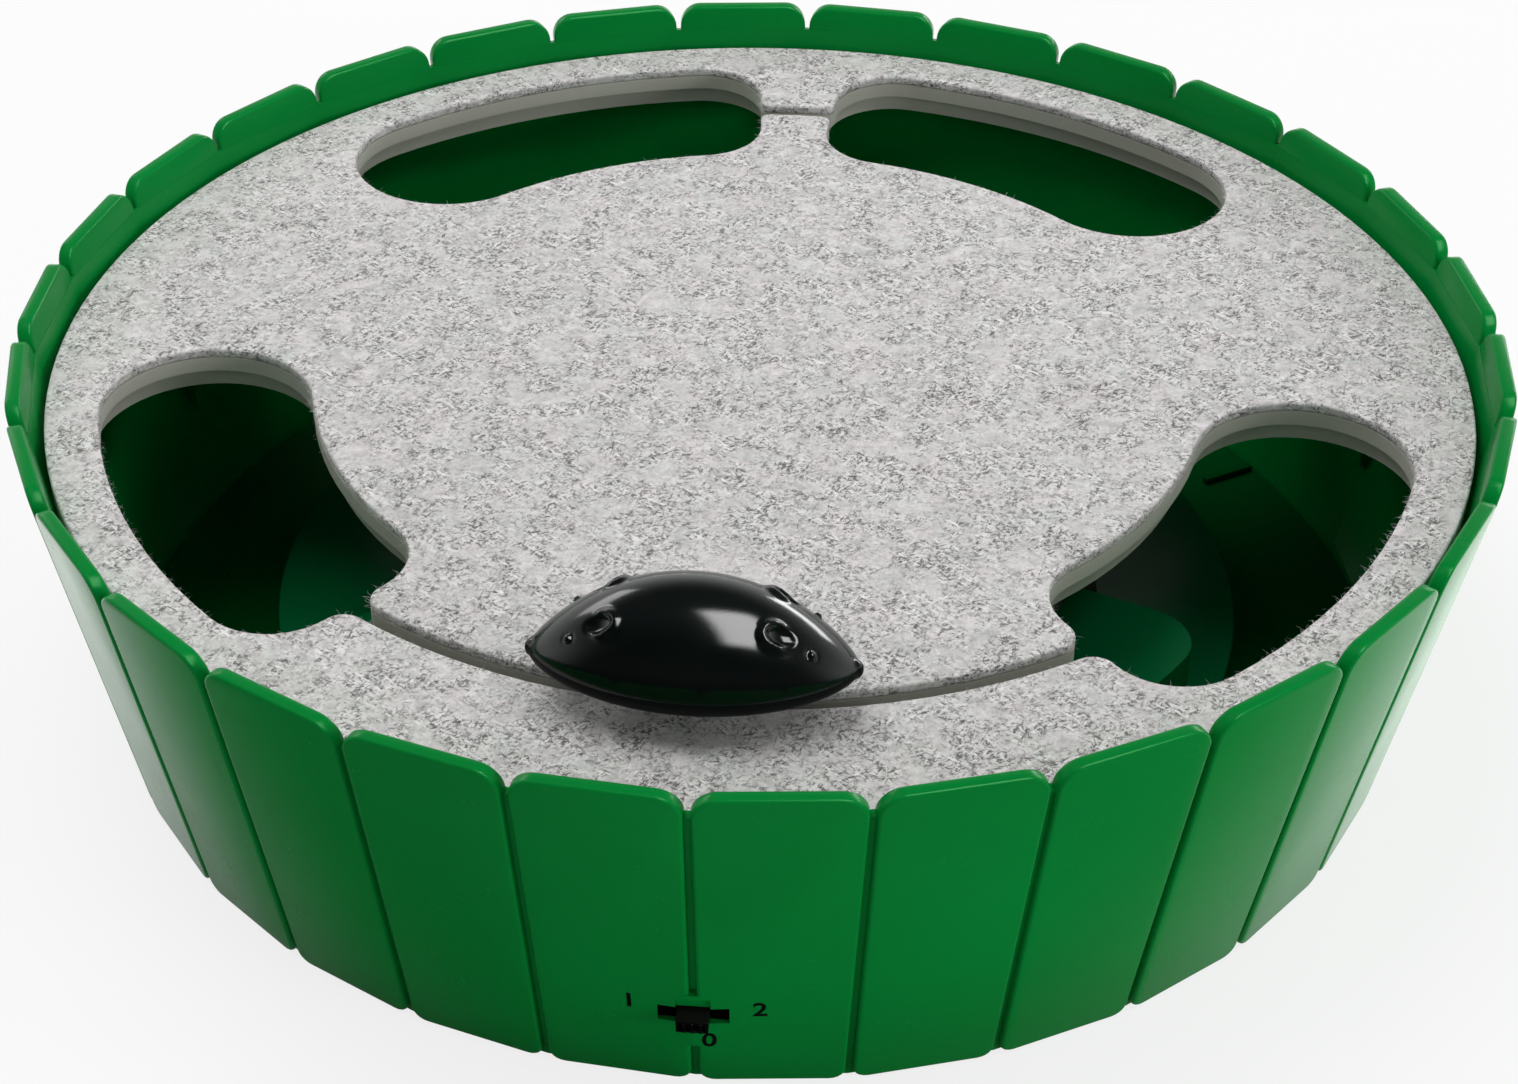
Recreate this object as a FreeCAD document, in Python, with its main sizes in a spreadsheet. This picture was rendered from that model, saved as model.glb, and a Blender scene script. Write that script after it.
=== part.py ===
import FreeCAD, Part
import math
import os
import Sketcher

# Interactive cat toy: a fenced tub with a felt lid and a mouse that a motor drives round a ring slot.
# Millimetres, +Z up, origin on the table at the centre of the tub, -Y towards the switch.

doc = FreeCAD.newDocument("CatToy")
dims = doc.addObject("Spreadsheet::Sheet", "dims")

driving = {
    # Fence tub
    "slatCount": 30, "fenceFootApothem": 110.3, "fenceTopApothem": 124.0, "fenceHeight": 65.65,
    "fenceWall": 2.6, "grooveWidth": 1.25, "grooveDepth": 1.2, "notchDepth": 4.65,
    "slatTopCorner": 4.0, "slatFootCorner": 2.4, "flangeThick": 2.2, "flangeBore": 99.0,
    "lidBossCount": 5, "lidBossCircle": 113.2, "lidBossRadius": 3.2, "lidBossTall": 10.0,
    "gussetThick": 2.0, "gussetFoot": 22.0, "wallBite": 0.8,
    # Floor and battery bay
    "floorThick": 1.8, "floorGap": 0.25, "floorRibIn": 96.5, "floorRibTall": 1.2, "floorRibWide": 1.2,
    "floorRibAngle": 33.0, "floorScrewCircle": 103.6, "floorScrewAngle": 69.0, "floorBossRadius": 3.4,
    "floorBossTall": 5.0,
    "bayLong": 56.0, "bayWide": 30.0, "bayFront": 17.8, "bayTall": 14.0, "bayWall": 1.6,
    "cellLong": 49.2, "cellRadius": 7.15, "cellNubLong": 1.3, "cellNubRadius": 2.75, "cellPlay": 0.35,
    "contactThick": 0.4, "contactWide": 10.0, "contactTall": 11.0, "springHalf": 3.6, "springFlat": 0.8,
    "springLeaf": 0.5, "springTall": 5.0,
    "doorThick": 1.0, "doorGap": 0.3, "doorSide": 1.6, "doorSlack": 0.3,
    "railWall": 1.2, "railLip": 0.5, "railReach": 1.0, "doorRidge": 0.4, "doorRidgeCount": 4,
    # Lid and felt
    "lidUnderside": 54.0, "lidThick": 2.6, "lidRadius": 118.5, "feltThick": 1.7, "feltRadius": 118.7,
    "trackCircle": 92.3, "pawHalfWidth": 17.6, "pawCorner": 11.5, "frontPawFar": -13.2,
    "frontPawNear": -52.8, "backPawFar": 47.0, "backPawNear": 85.8, "slotWidth": 3.4,
    "frontMouthRound": 3.6, "backMouthRound": 1.6, "skirtSetback": 1.5, "skirtThick": 1.3,
    "skirtDrop": 3.5,
    # Wave track under the mouse
    "waveIn": 60.0, "waveOut": 83.5, "waveLow": 13.0, "waveHigh": 32.8, "waveWall": 2.0,
    "frontTopStart": -144.0, "frontTopEnd": -23.0, "backTopStart": 68.0, "backTopEnd": 122.0,
    "rampSpan": 18.0, "waveCorner": 9.0, "waveBossRadius": 3.2, "leadGate": 14.0, "leadGateTall": 4.5,
    # Gear case and drive
    "gearModule": 0.6, "pinionTeeth": 10, "wheelTeeth": 40, "wheelAddendum": 0.6,
    "pinionAddendum": 1.0, "toothDedendum": 1.25, "meshPlay": 0.1, "toothSlack": 0.12,
    "wheelThick": 1.8, "pinionThick": 2.2, "levelStep": 2.2, "firstLevel": 18.3, "axleRadius": 1.0,
    "axlePlay": 0.06, "secondGearAngle": -60.0, "firstGearAngle": -140.0, "motorAngle": -60.0,
    "caseWall": 1.6, "caseClear": 0.6, "caseCorner": 8.0, "deckBottom": 16.5, "deckThick": 1.4,
    "coverBottom": 25.0, "coverThick": 1.4, "caseBossRadius": 3.0, "caseBossInset": 5.0,
    "motorRadius": 12.2, "motorFoot": 4.6, "motorTop": 16.3, "motorCapThick": 1.2, "motorCapRadius": 10.6,
    "motorNoseRadius": 3.1, "motorNoseTall": 0.9, "motorScrewCircle": 6.5,
    "shaftRadius": 2.0, "shaftFoot": 6.0, "bushRadius": 3.6, "bushFlange": 4.6, "bushFlangeThick": 0.6,
    # Carousel, swing arm and roller
    "carouselPhase": -1.25, "hubFoot": 27.3, "hubThick": 2.0, "hubRadius": 13.0, "hubBossRadius": 5.5,
    "hubBossTop": 33.0, "pivotOut": 16.0, "pivotHeight": 37.0, "cheekThick": 2.2, "cheekHalf": 3.6,
    "cheekGap": 0.3, "armHalfWide": 4.5, "armThick": 3.6, "armEndOut": 97.5, "armBendOut": 86.5,
    "armEndHeight": 44.5, "knuckleRadius": 3.2, "armEndStep": 1.0, "pinRadius": 1.0,
    "rollerRadius": 3.5, "rollerWide": 4.0, "rollerRide": 0.1, "rollerSide": 0.3,
    "lugThick": 1.6, "lugWide": 5.0,
    # Mouse
    "mouseLong": 49.4, "mouseWide": 24.4, "mouseDome": 12.8, "mouseBelly": 4.9, "mouseMiddle": 65.8,
    "mouseSplit": 66.6, "mouseWall": 1.5, "postThick": 1.6, "postWide": 7.0, "postTop": 68.4,
    "postFoot": 2.4, "socketWall": 1.3, "socketPlay": 0.1,
    "earRadius": 3.0, "earStand": 0.9, "scoopRadius": 2.6, "scoopLift": 1.9, "scoopAhead": 0.9,
    "earAlong": 12.0, "earAside": 5.0, "eyeAlong": 17.5, "eyeAside": 4.8,
    "noseRadius": 1.6, "noseInset": 0.4, "bossInset": 0.5,
    "mousePinHeight": 64.2, "mousePinRadius": 0.8, "mouseScrewAlong": 12.5,
    # Switch and board
    "switchHeight": 16.8, "switchSlotLong": 10.7, "switchSlotTall": 3.6,
    "knobLong": 4.8, "knobTall": 2.6, "knobOut": 4.9,
    "switchGateLong": 5.2, "switchGateTall": 5.8, "switchGateSkin": 1.9,
    "switchFillBelow": 7.8, "switchFillAbove": 4.5,
    "switchLong": 14.6, "switchTall": 7.0, "switchFront": -1.3, "switchDeep": 5.0, "switchPlay": 0.1,
    "switchLid": 1.2, "knobRoomDeep": 1.4, "knobRoomLong": 12.4, "knobRoomTall": 5.4,
    "knobFlangeLong": 6.4, "knobFlangeTall": 4.8, "knobFlangeThick": 0.8,
    "boardLong": 32.0, "boardTall": 16.0, "boardThick": 1.2, "boardPostAlong": 12.6,
    "boardPostRadius": 2.2, "resistorLong": 6.4, "resistorRadius": 1.15,
    # Fasteners and leads
    "screwRadius": 1.3, "screwHeadRadius": 2.4, "screwHeadTall": 1.3, "screwPlay": 0.08, "headSink": 0.2,
    "smallScrewRadius": 0.9, "smallHeadRadius": 1.7, "smallHeadTall": 0.9, "crossWide": 0.5,
    "leadRadius": 0.65,
}


def fillSheet():
    for row, (alias, value) in enumerate(driving.items(), start=1):
        dims.set(f"A{row}", alias)
        dims.set(f"B{row}", str(value))
        dims.setAlias(f"B{row}", alias)
    doc.recompute()


fillSheet()


def sheetExpression(text):
    # Writes each alias in the text as a reference to the sheet
    words = []
    word = ""
    for letter in str(text) + " ":
        if letter.isalnum() or letter == "_":
            word += letter
            continue
        words.append(f"dims.{word}" if word in driving else word)
        words.append(letter)
        word = ""
    return "".join(words).strip()


def number(text):
    return float(dims.evalExpression(sheetExpression(text)))


def bind(item, **sizes):
    # Binds properties to the sheet; a double underscore stands for a dot in the property path
    for path, text in sizes.items():
        item.setExpression(path.replace("__", "."), sheetExpression(text))


def place(item, x=0, y=0, z=0):
    bind(item, Placement__Base__x=x, Placement__Base__y=y, Placement__Base__z=z)
    return item


def turn(item, axis, angle):
    item.Placement.Rotation = FreeCAD.Rotation(FreeCAD.Vector(*axis), 1)
    item.setExpression("Placement.Rotation.Angle", sheetExpression(angle))
    return item


def cylinder(radius, height, x=0, y=0, z=0, axis=None, angle=90):
    item = doc.addObject("Part::Cylinder", "cylinder")
    bind(item, Radius=radius, Height=height)
    place(item, x, y, z)
    if axis:
        turn(item, axis, angle)
    return item


def cone(radius1, radius2, height, x=0, y=0, z=0):
    item = doc.addObject("Part::Cone", "cone")
    bind(item, Radius1=radius1, Radius2=radius2, Height=height)
    return place(item, x, y, z)


def box(long, wide, tall, x=0, y=0, z=0):
    # Box centred on x and y, standing on z
    item = doc.addObject("Part::Box", "box")
    bind(item, Length=long, Width=wide, Height=tall)
    return place(item, f"({x}) - ({long}) / 2", f"({y}) - ({wide}) / 2", z)


def fuse(*items):
    item = doc.addObject("Part::MultiFuse", "fuse")
    item.Shapes = list(items)
    return item


def cut(base, *tools):
    item = doc.addObject("Part::Cut", "cut")
    item.Base = base
    item.Tool = tools[0] if len(tools) == 1 else fuse(*tools)
    return item


def common(first, second):
    item = doc.addObject("Part::Common", "common")
    item.Base = first
    item.Tool = second
    return item


def group(items):
    item = doc.addObject("Part::Compound", "group")
    item.Links = list(items)
    return item


def ringSector(inner, outer, height, start, end, z=0):
    # Ring between two radii from one angle to another, in degrees
    parts = []
    for radius, extra in ((outer, 0), (inner, 1)):
        item = doc.addObject("Part::Cylinder", "sector")
        bind(item, Radius=radius, Height=f"({height}) + 2 * {extra}", Angle=f"({end}) - ({start})")
        place(item, z=f"({z}) - {extra}")
        turn(item, (0, 0, 1), start)
        parts.append(item)
    return cut(*parts)


def ring(inner, outer, height, z=0):
    return cut(cylinder(outer, height, z=z), cylinder(inner, f"({height}) + 2", z=f"({z}) - 1"))


def originPlane(body, role):
    return next(item for item in body.Origin.OriginFeatures if item.Role == role)


def newBody(name, base=None):
    body = doc.addObject("PartDesign::Body", name)
    if base:
        body.BaseFeature = base
        doc.recompute()
    return body


def polygonSketch(body, role, points, lift=None):
    # Closed outline through points whose two coordinates are expressions on the sheet
    sketch = body.newObject("Sketcher::SketchObject", "outline")
    sketch.AttachmentSupport = [(originPlane(body, role), "")]
    sketch.MapMode = "FlatFace"
    if lift:
        sketch.setExpression("AttachmentOffset.Base.z", sheetExpression(lift))
    corners = [FreeCAD.Vector(number(across), number(up), 0) for across, up in points]
    count = len(corners)
    for index in range(count):
        sketch.addGeometry(Part.LineSegment(corners[index], corners[(index + 1) % count]))
    for index in range(count):
        sketch.addConstraint(Sketcher.Constraint("Coincident", index, 2, (index + 1) % count, 1))
    for index, (across, up) in enumerate(points):
        for kind, text, now in (("DistanceX", across, corners[index].x), ("DistanceY", up, corners[index].y)):
            slot = sketch.addConstraint(Sketcher.Constraint(kind, -1, 1, index, 1, now))
            sketch.setExpression(f"Constraints[{slot}]", sheetExpression(text))
    return sketch


def circleSketch(body, role, circles, lift=None):
    # Circles given as radius, across and up
    sketch = body.newObject("Sketcher::SketchObject", "rounds")
    sketch.AttachmentSupport = [(originPlane(body, role), "")]
    sketch.MapMode = "FlatFace"
    if lift:
        sketch.setExpression("AttachmentOffset.Base.z", sheetExpression(lift))
    for index, (radius, across, up) in enumerate(circles):
        centre = FreeCAD.Vector(number(across), number(up), 0)
        sketch.addGeometry(Part.Circle(centre, FreeCAD.Vector(0, 0, 1), number(radius)))
        for kind, args, text in (
            ("Radius", (index,), radius),
            ("DistanceX", (-1, 1, index, 3), across),
            ("DistanceY", (-1, 1, index, 3), up),
        ):
            slot = sketch.addConstraint(Sketcher.Constraint(kind, *args, number(text)))
            sketch.setExpression(f"Constraints[{slot}]", sheetExpression(text))
    return sketch


def extrude(body, kind, sketch, length, symmetric=False, reverse=False):
    feature = body.newObject(f"PartDesign::{kind}", kind.lower())
    feature.Profile = sketch
    feature.setExpression("Length", sheetExpression(length))
    if symmetric:
        feature.SideType = "Symmetric"
    feature.Reversed = reverse
    return feature


def polar(body, features, count):
    pattern = body.newObject("PartDesign::PolarPattern", "around")
    pattern.Originals = features
    pattern.Axis = (originPlane(body, "Z_Axis"), [""])
    pattern.Angle = 360
    pattern.setExpression("Occurrences", sheetExpression(count))
    body.Tip = pattern
    return pattern


def edgesWhere(item, test):
    # Numbers of the edges whose middle point passes a test
    doc.recompute()
    found = []
    for index, edge in enumerate(item.Shape.Edges, start=1):
        middle = edge.valueAt((edge.FirstParameter + edge.LastParameter) / 2)
        if test(edge, middle):
            found.append(index)
    return found


def rounded(item, radius, test):
    fillet = doc.addObject("Part::Fillet", "rounded")
    fillet.Base = item
    size = number(radius)
    fillet.Edges = [(index, size, size) for index in edgesWhere(item, test)]
    return fillet


def upright(edge, middle=None):
    start = edge.valueAt(edge.FirstParameter)
    end = edge.valueAt(edge.LastParameter)
    return abs(start.z - end.z) > 0.5 and (start - FreeCAD.Vector(end.x, end.y, start.z)).Length < 0.01


# Where each gear turns, worked out from one tooth size
meshDistance = "(gearModule * (pinionTeeth + wheelTeeth) / 2 + meshPlay)"
secondAt = (f"{meshDistance} * cos(secondGearAngle * 1deg)", f"{meshDistance} * sin(secondGearAngle * 1deg)")
firstAt = (
    f"({secondAt[0]} + {meshDistance} * cos(firstGearAngle * 1deg))",
    f"({secondAt[1]} + {meshDistance} * sin(firstGearAngle * 1deg))",
)
motorAt = (
    f"({firstAt[0]} + {meshDistance} * cos(motorAngle * 1deg))",
    f"({firstAt[1]} + {meshDistance} * sin(motorAngle * 1deg))",
)
wheelTip = "(gearModule * (wheelTeeth / 2 + wheelAddendum))"

# Heights that several pieces share
floorTop = "(flangeThick + floorThick)"
feltTop = "(lidUnderside + lidThick + feltThick)"
wallLean = "((fenceTopApothem - fenceFootApothem) / fenceHeight)"
leanAngle = f"atan({wallLean})"
halfFacet = "(180deg / slatCount)"
lidScrewAngles = [90 + 72 * turns for turns in range(5)]


def innerApothem(height):
    # Distance from the axis to the wall's inner faces at a height
    return f"(fenceFootApothem + {wallLean} * ({height}) - fenceWall)"


def polygonLoft(bottomApothem, topApothem, bottom, top):
    # Upright frustum with one face for each slat and a corner towards +X
    rings = []
    for apothem, height in ((bottomApothem, bottom), (topApothem, top)):
        outline = doc.addObject("Part::RegularPolygon", "facets")
        bind(outline, Polygon="slatCount", Circumradius=f"({apothem}) / cos({halfFacet})")
        place(outline, z=height)
        turn(outline, (0, 0, 1), "90deg")
        rings.append(outline)
    solid = doc.addObject("Part::Loft", "frustum")
    solid.Sections = rings
    solid.Solid = True
    solid.Ruled = True
    return solid


def lineOut(depth, height):
    # Distance out along -Y to a line that lies a depth inside the slat joint
    return f"-(fenceFootApothem + {wallLean} * ({height})) / cos({halfFacet}) + {depth}"


def onWall(item, across, inward, up, alongNormal=False):
    # Places an item in the frame of the wall's inner corner line at the switch
    height = number("switchHeight")
    corner = number(f"{innerApothem('switchHeight')} / cos({halfFacet})")
    lean = math.degrees(math.atan(number(wallLean)))
    acrossAxis = FreeCAD.Vector(1, 0, 0)
    frame = FreeCAD.Placement(FreeCAD.Vector(0, -corner, height), FreeCAD.Rotation(acrossAxis, lean))
    spin = FreeCAD.Rotation(acrossAxis, -90 if alongNormal else 0)
    local = FreeCAD.Placement(FreeCAD.Vector(number(across), number(inward), number(up)), spin)
    item.Placement = frame.multiply(local)
    return item


def wallBox(long, deep, tall, across, inward, up):
    # Box in the wall's frame, centred across and up, starting at an inward distance
    item = doc.addObject("Part::Box", "wallBox")
    bind(item, Length=long, Width=deep, Height=tall)
    return onWall(item, f"({across}) - ({long}) / 2", inward, f"({up}) - ({tall}) / 2")


def wallRod(radius, deep, across, inward, up="0"):
    item = doc.addObject("Part::Cylinder", "wallRod")
    bind(item, Radius=radius, Height=deep)
    return onWall(item, across, inward, up, alongNormal=True)


def spoke(long, wide, tall, start, angle, z):
    # Box that points outwards along a radius
    item = doc.addObject("Part::Box", "spoke")
    bind(item, Length=long, Width=wide, Height=tall)
    x = f"({start}) * cos(({angle}) * 1deg) + ({wide}) / 2 * sin(({angle}) * 1deg)"
    y = f"({start}) * sin(({angle}) * 1deg) - ({wide}) / 2 * cos(({angle}) * 1deg)"
    return turn(place(item, x, y, z), (0, 0, 1), angle)


def around(circle, angle):
    return f"({circle}) * cos(({angle}) * 1deg)", f"({circle}) * sin(({angle}) * 1deg)"


def slatNotch(body, corner, edgeHeight, floorHeight, upward, start, deep):
    # Notch between two slats with a round corner on each side, cut outwards through the front
    sketch = body.newObject("Sketcher::SketchObject", "notch")
    sketch.AttachmentSupport = [(originPlane(body, "XZ_Plane"), "")]
    sketch.MapMode = "FlatFace"
    sketch.setExpression("AttachmentOffset.Base.z", sheetExpression(start))
    radius = number(corner)
    half = number("grooveWidth / 2")
    edge = number(edgeHeight)
    shoulder = edge - upward * radius
    floor = number(floorHeight)
    outside = edge + upward
    bulge = radius * math.sqrt(0.5)
    right = [
        FreeCAD.Vector(half, floor, 0), FreeCAD.Vector(half, shoulder, 0),
        FreeCAD.Vector(half + radius, edge, 0), FreeCAD.Vector(half + radius, outside, 0),
    ]
    left = [FreeCAD.Vector(-point.x, point.y, 0) for point in reversed(right)]
    points = right + left
    middle = FreeCAD.Vector(half + radius - bulge, shoulder + upward * bulge, 0)
    arcs = {1: middle, 5: FreeCAD.Vector(-middle.x, middle.y, 0)}
    for index, begin in enumerate(points):
        end = points[(index + 1) % len(points)]
        straight = index not in arcs
        sketch.addGeometry(Part.LineSegment(begin, end) if straight else Part.Arc(begin, arcs[index], end))
    return extrude(body, "Pocket", sketch, deep, reverse=True)


def fenceShell():
    outer = polygonLoft("fenceFootApothem", "fenceTopApothem", "0", "fenceHeight")
    above = "fenceHeight + 1"
    inner = polygonLoft(innerApothem("flangeThick"), innerApothem(above), "flangeThick", above)
    return cut(outer, inner, cylinder("flangeBore", "flangeThick + 2", z="-1"))


def fenceBody():
    body = newBody("fenceBody", fenceShell())
    reach = 6
    above = "fenceHeight + 1"
    groove = extrude(body, "Pocket", polygonSketch(body, "YZ_Plane", [
        (lineOut("grooveDepth", "-1"), "-1"),
        (lineOut(f"-{reach}", "-1"), "-1"),
        (lineOut(f"-{reach}", above), above),
        (lineOut("grooveDepth", above), above),
    ]), "grooveWidth", symmetric=True)
    topCut = slatNotch(body, "slatTopCorner", "fenceHeight", "fenceHeight - notchDepth", 1,
                       "fenceFootApothem - fenceWall * 2",
                       "fenceTopApothem - fenceFootApothem + fenceWall * 4")
    footCut = slatNotch(body, "slatFootCorner", "0", "slatFootCorner + 0.6", -1,
                        f"fenceFootApothem / cos({halfFacet}) - grooveDepth", "grooveDepth + 1")
    polar(body, [groove, topCut, footCut], "slatCount")
    bossFoot = "lidUnderside - lidBossTall"
    boss = extrude(body, "Pad", circleSketch(body, "XY_Plane", [
        ("lidBossRadius", "0", "lidBossCircle")], bossFoot), "lidBossTall")

    def wallIn(height):
        return f"{innerApothem(height)} / cos({halfFacet}) + wallBite"

    gusset = extrude(body, "Pad", polygonSketch(body, "YZ_Plane", [
        ("lidBossCircle - lidBossRadius * 0.7", bossFoot),
        ("lidBossCircle", "lidUnderside"),
        (wallIn("lidUnderside"), "lidUnderside"),
        (wallIn("gussetFoot"), "gussetFoot"),
    ]), "gussetThick", symmetric=True)
    hole = extrude(body, "Pocket", circleSketch(body, "XY_Plane", [
        ("screwRadius + screwPlay", "0", "lidBossCircle")], "lidUnderside"), "lidBossTall - 1")
    polar(body, [boss, gusset, hole], "lidBossCount")
    lower = "switchHeight - switchFillBelow"
    upper = "switchHeight + switchFillAbove"
    fill = extrude(body, "Pad", polygonSketch(body, "YZ_Plane", [
        (lineOut("grooveDepth + 0.2", lower), lower),
        (lineOut("0.08", lower), lower),
        (lineOut("0.08", upper), upper),
        (lineOut("grooveDepth + 0.2", upper), upper),
    ]), "grooveWidth", symmetric=True)
    body.Tip = fill
    return body


# Depth behind the wall where the switch board sits
boardFront = "(switchFront + switchDeep)"
floorScrewAngles = [f"floorScrewAngle + {72 * turns}" for turns in range(5)]


def fenceRing():
    sides = (-1, 1)
    posts = [wallRod("boardPostRadius", boardFront, f"{side} * boardPostAlong", "0") for side in sides]
    bores = [wallRod("smallScrewRadius + screwPlay", boardFront, f"{side} * boardPostAlong", "1.6")
             for side in sides]
    slot = wallBox("switchSlotLong", "10", "switchSlotTall", "0", "-6", "0")
    gate = wallBox("switchGateLong", "6 - switchGateSkin", "switchGateTall", "0", "-6",
                   "(switchGateTall - switchSlotTall) / 2")
    nest = wallBox("switchLong + switchPlay * 2", "8", "switchTall + switchPlay * 2", "0",
                   "switchFront - switchPlay", "0")
    tools = [slot, gate, nest] + bores
    for angle in floorScrewAngles:
        x, y = around("floorScrewCircle", angle)
        tools.append(cylinder("screwRadius + screwPlay", "flangeThick + 2", x, y, "-1"))
        tools.append(cone("screwHeadRadius + screwPlay", "screwRadius + screwPlay", "screwHeadTall",
                          x, y, "headSink"))
        tools.append(cylinder("screwHeadRadius + screwPlay", "headSink + 1", x, y, "-1"))
    return cut(fuse(fenceBody(), *posts), *tools)


# Case outline from the gears and the motor that it holds
caseLeft = f"({firstAt[0]} - {wheelTip} - caseClear - caseWall)"
caseRight = f"({secondAt[0]} + {wheelTip} + caseClear + caseWall)"
caseFront = f"({motorAt[1]} - motorRadius - caseClear - caseWall)"
caseBack = f"({wheelTip} + caseClear + caseWall)"
caseCorners = [(f"{side} {sideSign} caseBossInset", f"{end} {endSign} caseBossInset")
               for side, sideSign in ((caseLeft, "+"), (caseRight, "-"))
               for end, endSign in ((caseFront, "+"), (caseBack, "-"))]
trackOut = "((waveIn + waveOut) / 2)"
trackScrewAngles = (14, 160, -65, -115)
bayBack = "(bayFront + bayWide)"
bayMiddle = "(bayFront + bayWide / 2)"
doorTop = "(flangeThick - doorGap)"
doorBottom = f"({doorTop} - doorThick)"
railBottom = f"({doorBottom} - doorGap - railLip)"


def doorRails():
    long = "bayWide + doorSide * 2"
    half = "(bayLong / 2 + doorSide)"
    rails = []
    for side in (-1, 1):
        wallAt = f"{side} * ({half} + doorSlack + railWall / 2)"
        lipLong = "railWall + doorSlack + railReach"
        lipAt = f"{side} * ({half} - railReach + ({lipLong}) / 2)"
        rails.append(box("railWall", long, f"flangeThick + 0.2 - {railBottom}", wallAt, bayMiddle, railBottom))
        rails.append(box(lipLong, long, "railLip", lipAt, bayMiddle, railBottom))
    stopAt = "bayFront - doorSide - doorSlack - railWall / 2"
    stopLong = f"{half} * 2 + doorSlack * 2 + railWall * 2"
    rails.append(box(stopLong, "railWall", f"flangeThick + 0.2 - {railBottom}", "0", stopAt, railBottom))
    return rails


def basePlate():
    disc = cylinder(f"{innerApothem('flangeThick')} - floorGap", "floorThick", z="flangeThick")
    bay = box("bayLong + bayWall * 2", "bayWide + bayWall * 2", "floorThick + bayTall + bayWall",
              "0", bayMiddle, "flangeThick")
    shaftSeat = cylinder("shaftRadius + 2.2", f"deckBottom - 5 - {floorTop}", z=floorTop)
    solids = [disc, bay, shaftSeat] + doorRails()
    tools = [box("bayLong", "bayWide", "floorThick + bayTall + 1", "0", bayMiddle, "flangeThick - 1")]
    tools.append(cylinder("shaftRadius + axlePlay", "deckBottom", z="shaftFoot - 0.1"))
    for row in cellRows:
        tools.append(cylinder("leadRadius + 0.15", "bayWall + 2", "-bayLong / 2 - bayWall - 1", row, cellHeight,
                              (0, 1, 0), "90"))
    for turns in range(5):
        long = f"{innerApothem('flangeThick')} - floorGap - floorRibIn - 1"
        solids.append(spoke(long, "floorRibWide", "floorRibTall", "floorRibIn", f"floorRibAngle + {72 * turns}",
                            floorTop))
    for angle in floorScrewAngles:
        x, y = around("floorScrewCircle", angle)
        solids.append(cylinder("floorBossRadius", "floorBossTall", x, y, floorTop))
        tools.append(cylinder("screwRadius + screwPlay", "floorBossTall + floorThick", x, y, "flangeThick - 1"))
    for x, y in caseCorners:
        tools += sunkHole(x, y)
    for angle in trackScrewAngles:
        tools += sunkHole(*around(trackOut, angle))
    return cut(fuse(*solids), *tools)


def sunkHole(x, y):
    # Countersunk hole through the floor from below
    return [
        cylinder("screwRadius + screwPlay", "floorThick + 2", x, y, "flangeThick - 1"),
        cone("screwHeadRadius + screwPlay", "screwRadius + screwPlay", "screwHeadTall", x, y, "flangeThick"),
    ]


def batteryDoor():
    plate = box("bayLong + doorSide * 2", "bayWide + doorSide * 2", "doorThick", "0", bayMiddle, doorBottom)
    ridges = [box("bayLong / 3", "0.8", "doorRidge + 0.2", "0", f"bayFront + 2 + {index * 2}",
                  f"{doorBottom} - doorRidge") for index in range(int(number("doorRidgeCount")))]
    return fuse(plate, *ridges)


cellHeight = f"({floorTop} + bayTall - cellPlay - cellRadius)"
cellRows = ("(bayFront + cellPlay + cellRadius)", f"({bayBack} - cellPlay - cellRadius)")
cellShift = "(bayLong / 2 - contactThick - 0.1 - cellNubLong - cellLong / 2)"


def batteryCell(row, side):
    # Cell along X with its nub towards one side
    foot = f"-cellLong / 2 + {side} * {cellShift}"
    can = cylinder("cellRadius", "cellLong", foot, cellRows[row], cellHeight, (0, 1, 0), "90")
    nubFoot = f"{side} * (cellLong / 2 + {cellShift}) - {(1 - side) // 2} * cellNubLong"
    nub = cylinder("cellNubRadius", "cellNubLong", nubFoot, cellRows[row], cellHeight, (0, 1, 0), "90")
    return fuse(can, nub)


def batteryContacts():
    plates = []
    for row in cellRows:
        plates.append(box("contactThick", "contactWide", "contactTall", "-bayLong / 2 + contactThick / 2", row,
                          f"{cellHeight} - contactTall / 2"))
    return group(plates)


def bridgeContact():
    long = f"{cellRows[1]} - {cellRows[0]} + contactWide"
    return box("contactThick", long, "contactTall", "bayLong / 2 - contactThick / 2", bayMiddle,
               f"{cellHeight} - contactTall / 2")


def batterySprings():
    # Bowed leaf between the wall's contact and the flat end of each cell
    springs = []
    room = f"(bayLong / 2 - contactThick - cellLong / 2 + {cellShift})"
    bow = [("0.05", "-springHalf"), (f"{room} - 0.05", "-springFlat"), (f"{room} - 0.05", "springFlat"),
           ("0.05", "springHalf"), ("0.05", "springHalf - springLeaf"),
           (f"{room} - 0.05 - springLeaf", "springFlat / 2"),
           (f"{room} - 0.05 - springLeaf", "-springFlat / 2"),
           ("0.05", "springLeaf - springHalf")]
    for row, side in ((0, -1), (1, 1)):
        body = newBody("leaf")
        points = [(f"{side} * (bayLong / 2 - contactThick - ({out}))", f"{cellRows[row]} + ({along})")
                  for out, along in bow]
        sketch = polygonSketch(body, "XY_Plane", points, f"{cellHeight} - springTall / 2")
        body.Tip = extrude(body, "Pad", sketch, "springTall")
        springs.append(body)
    return group(springs)


def polarPoint(radius, angle):
    return FreeCAD.Vector(radius * math.cos(angle), radius * math.sin(angle), 0)


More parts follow.
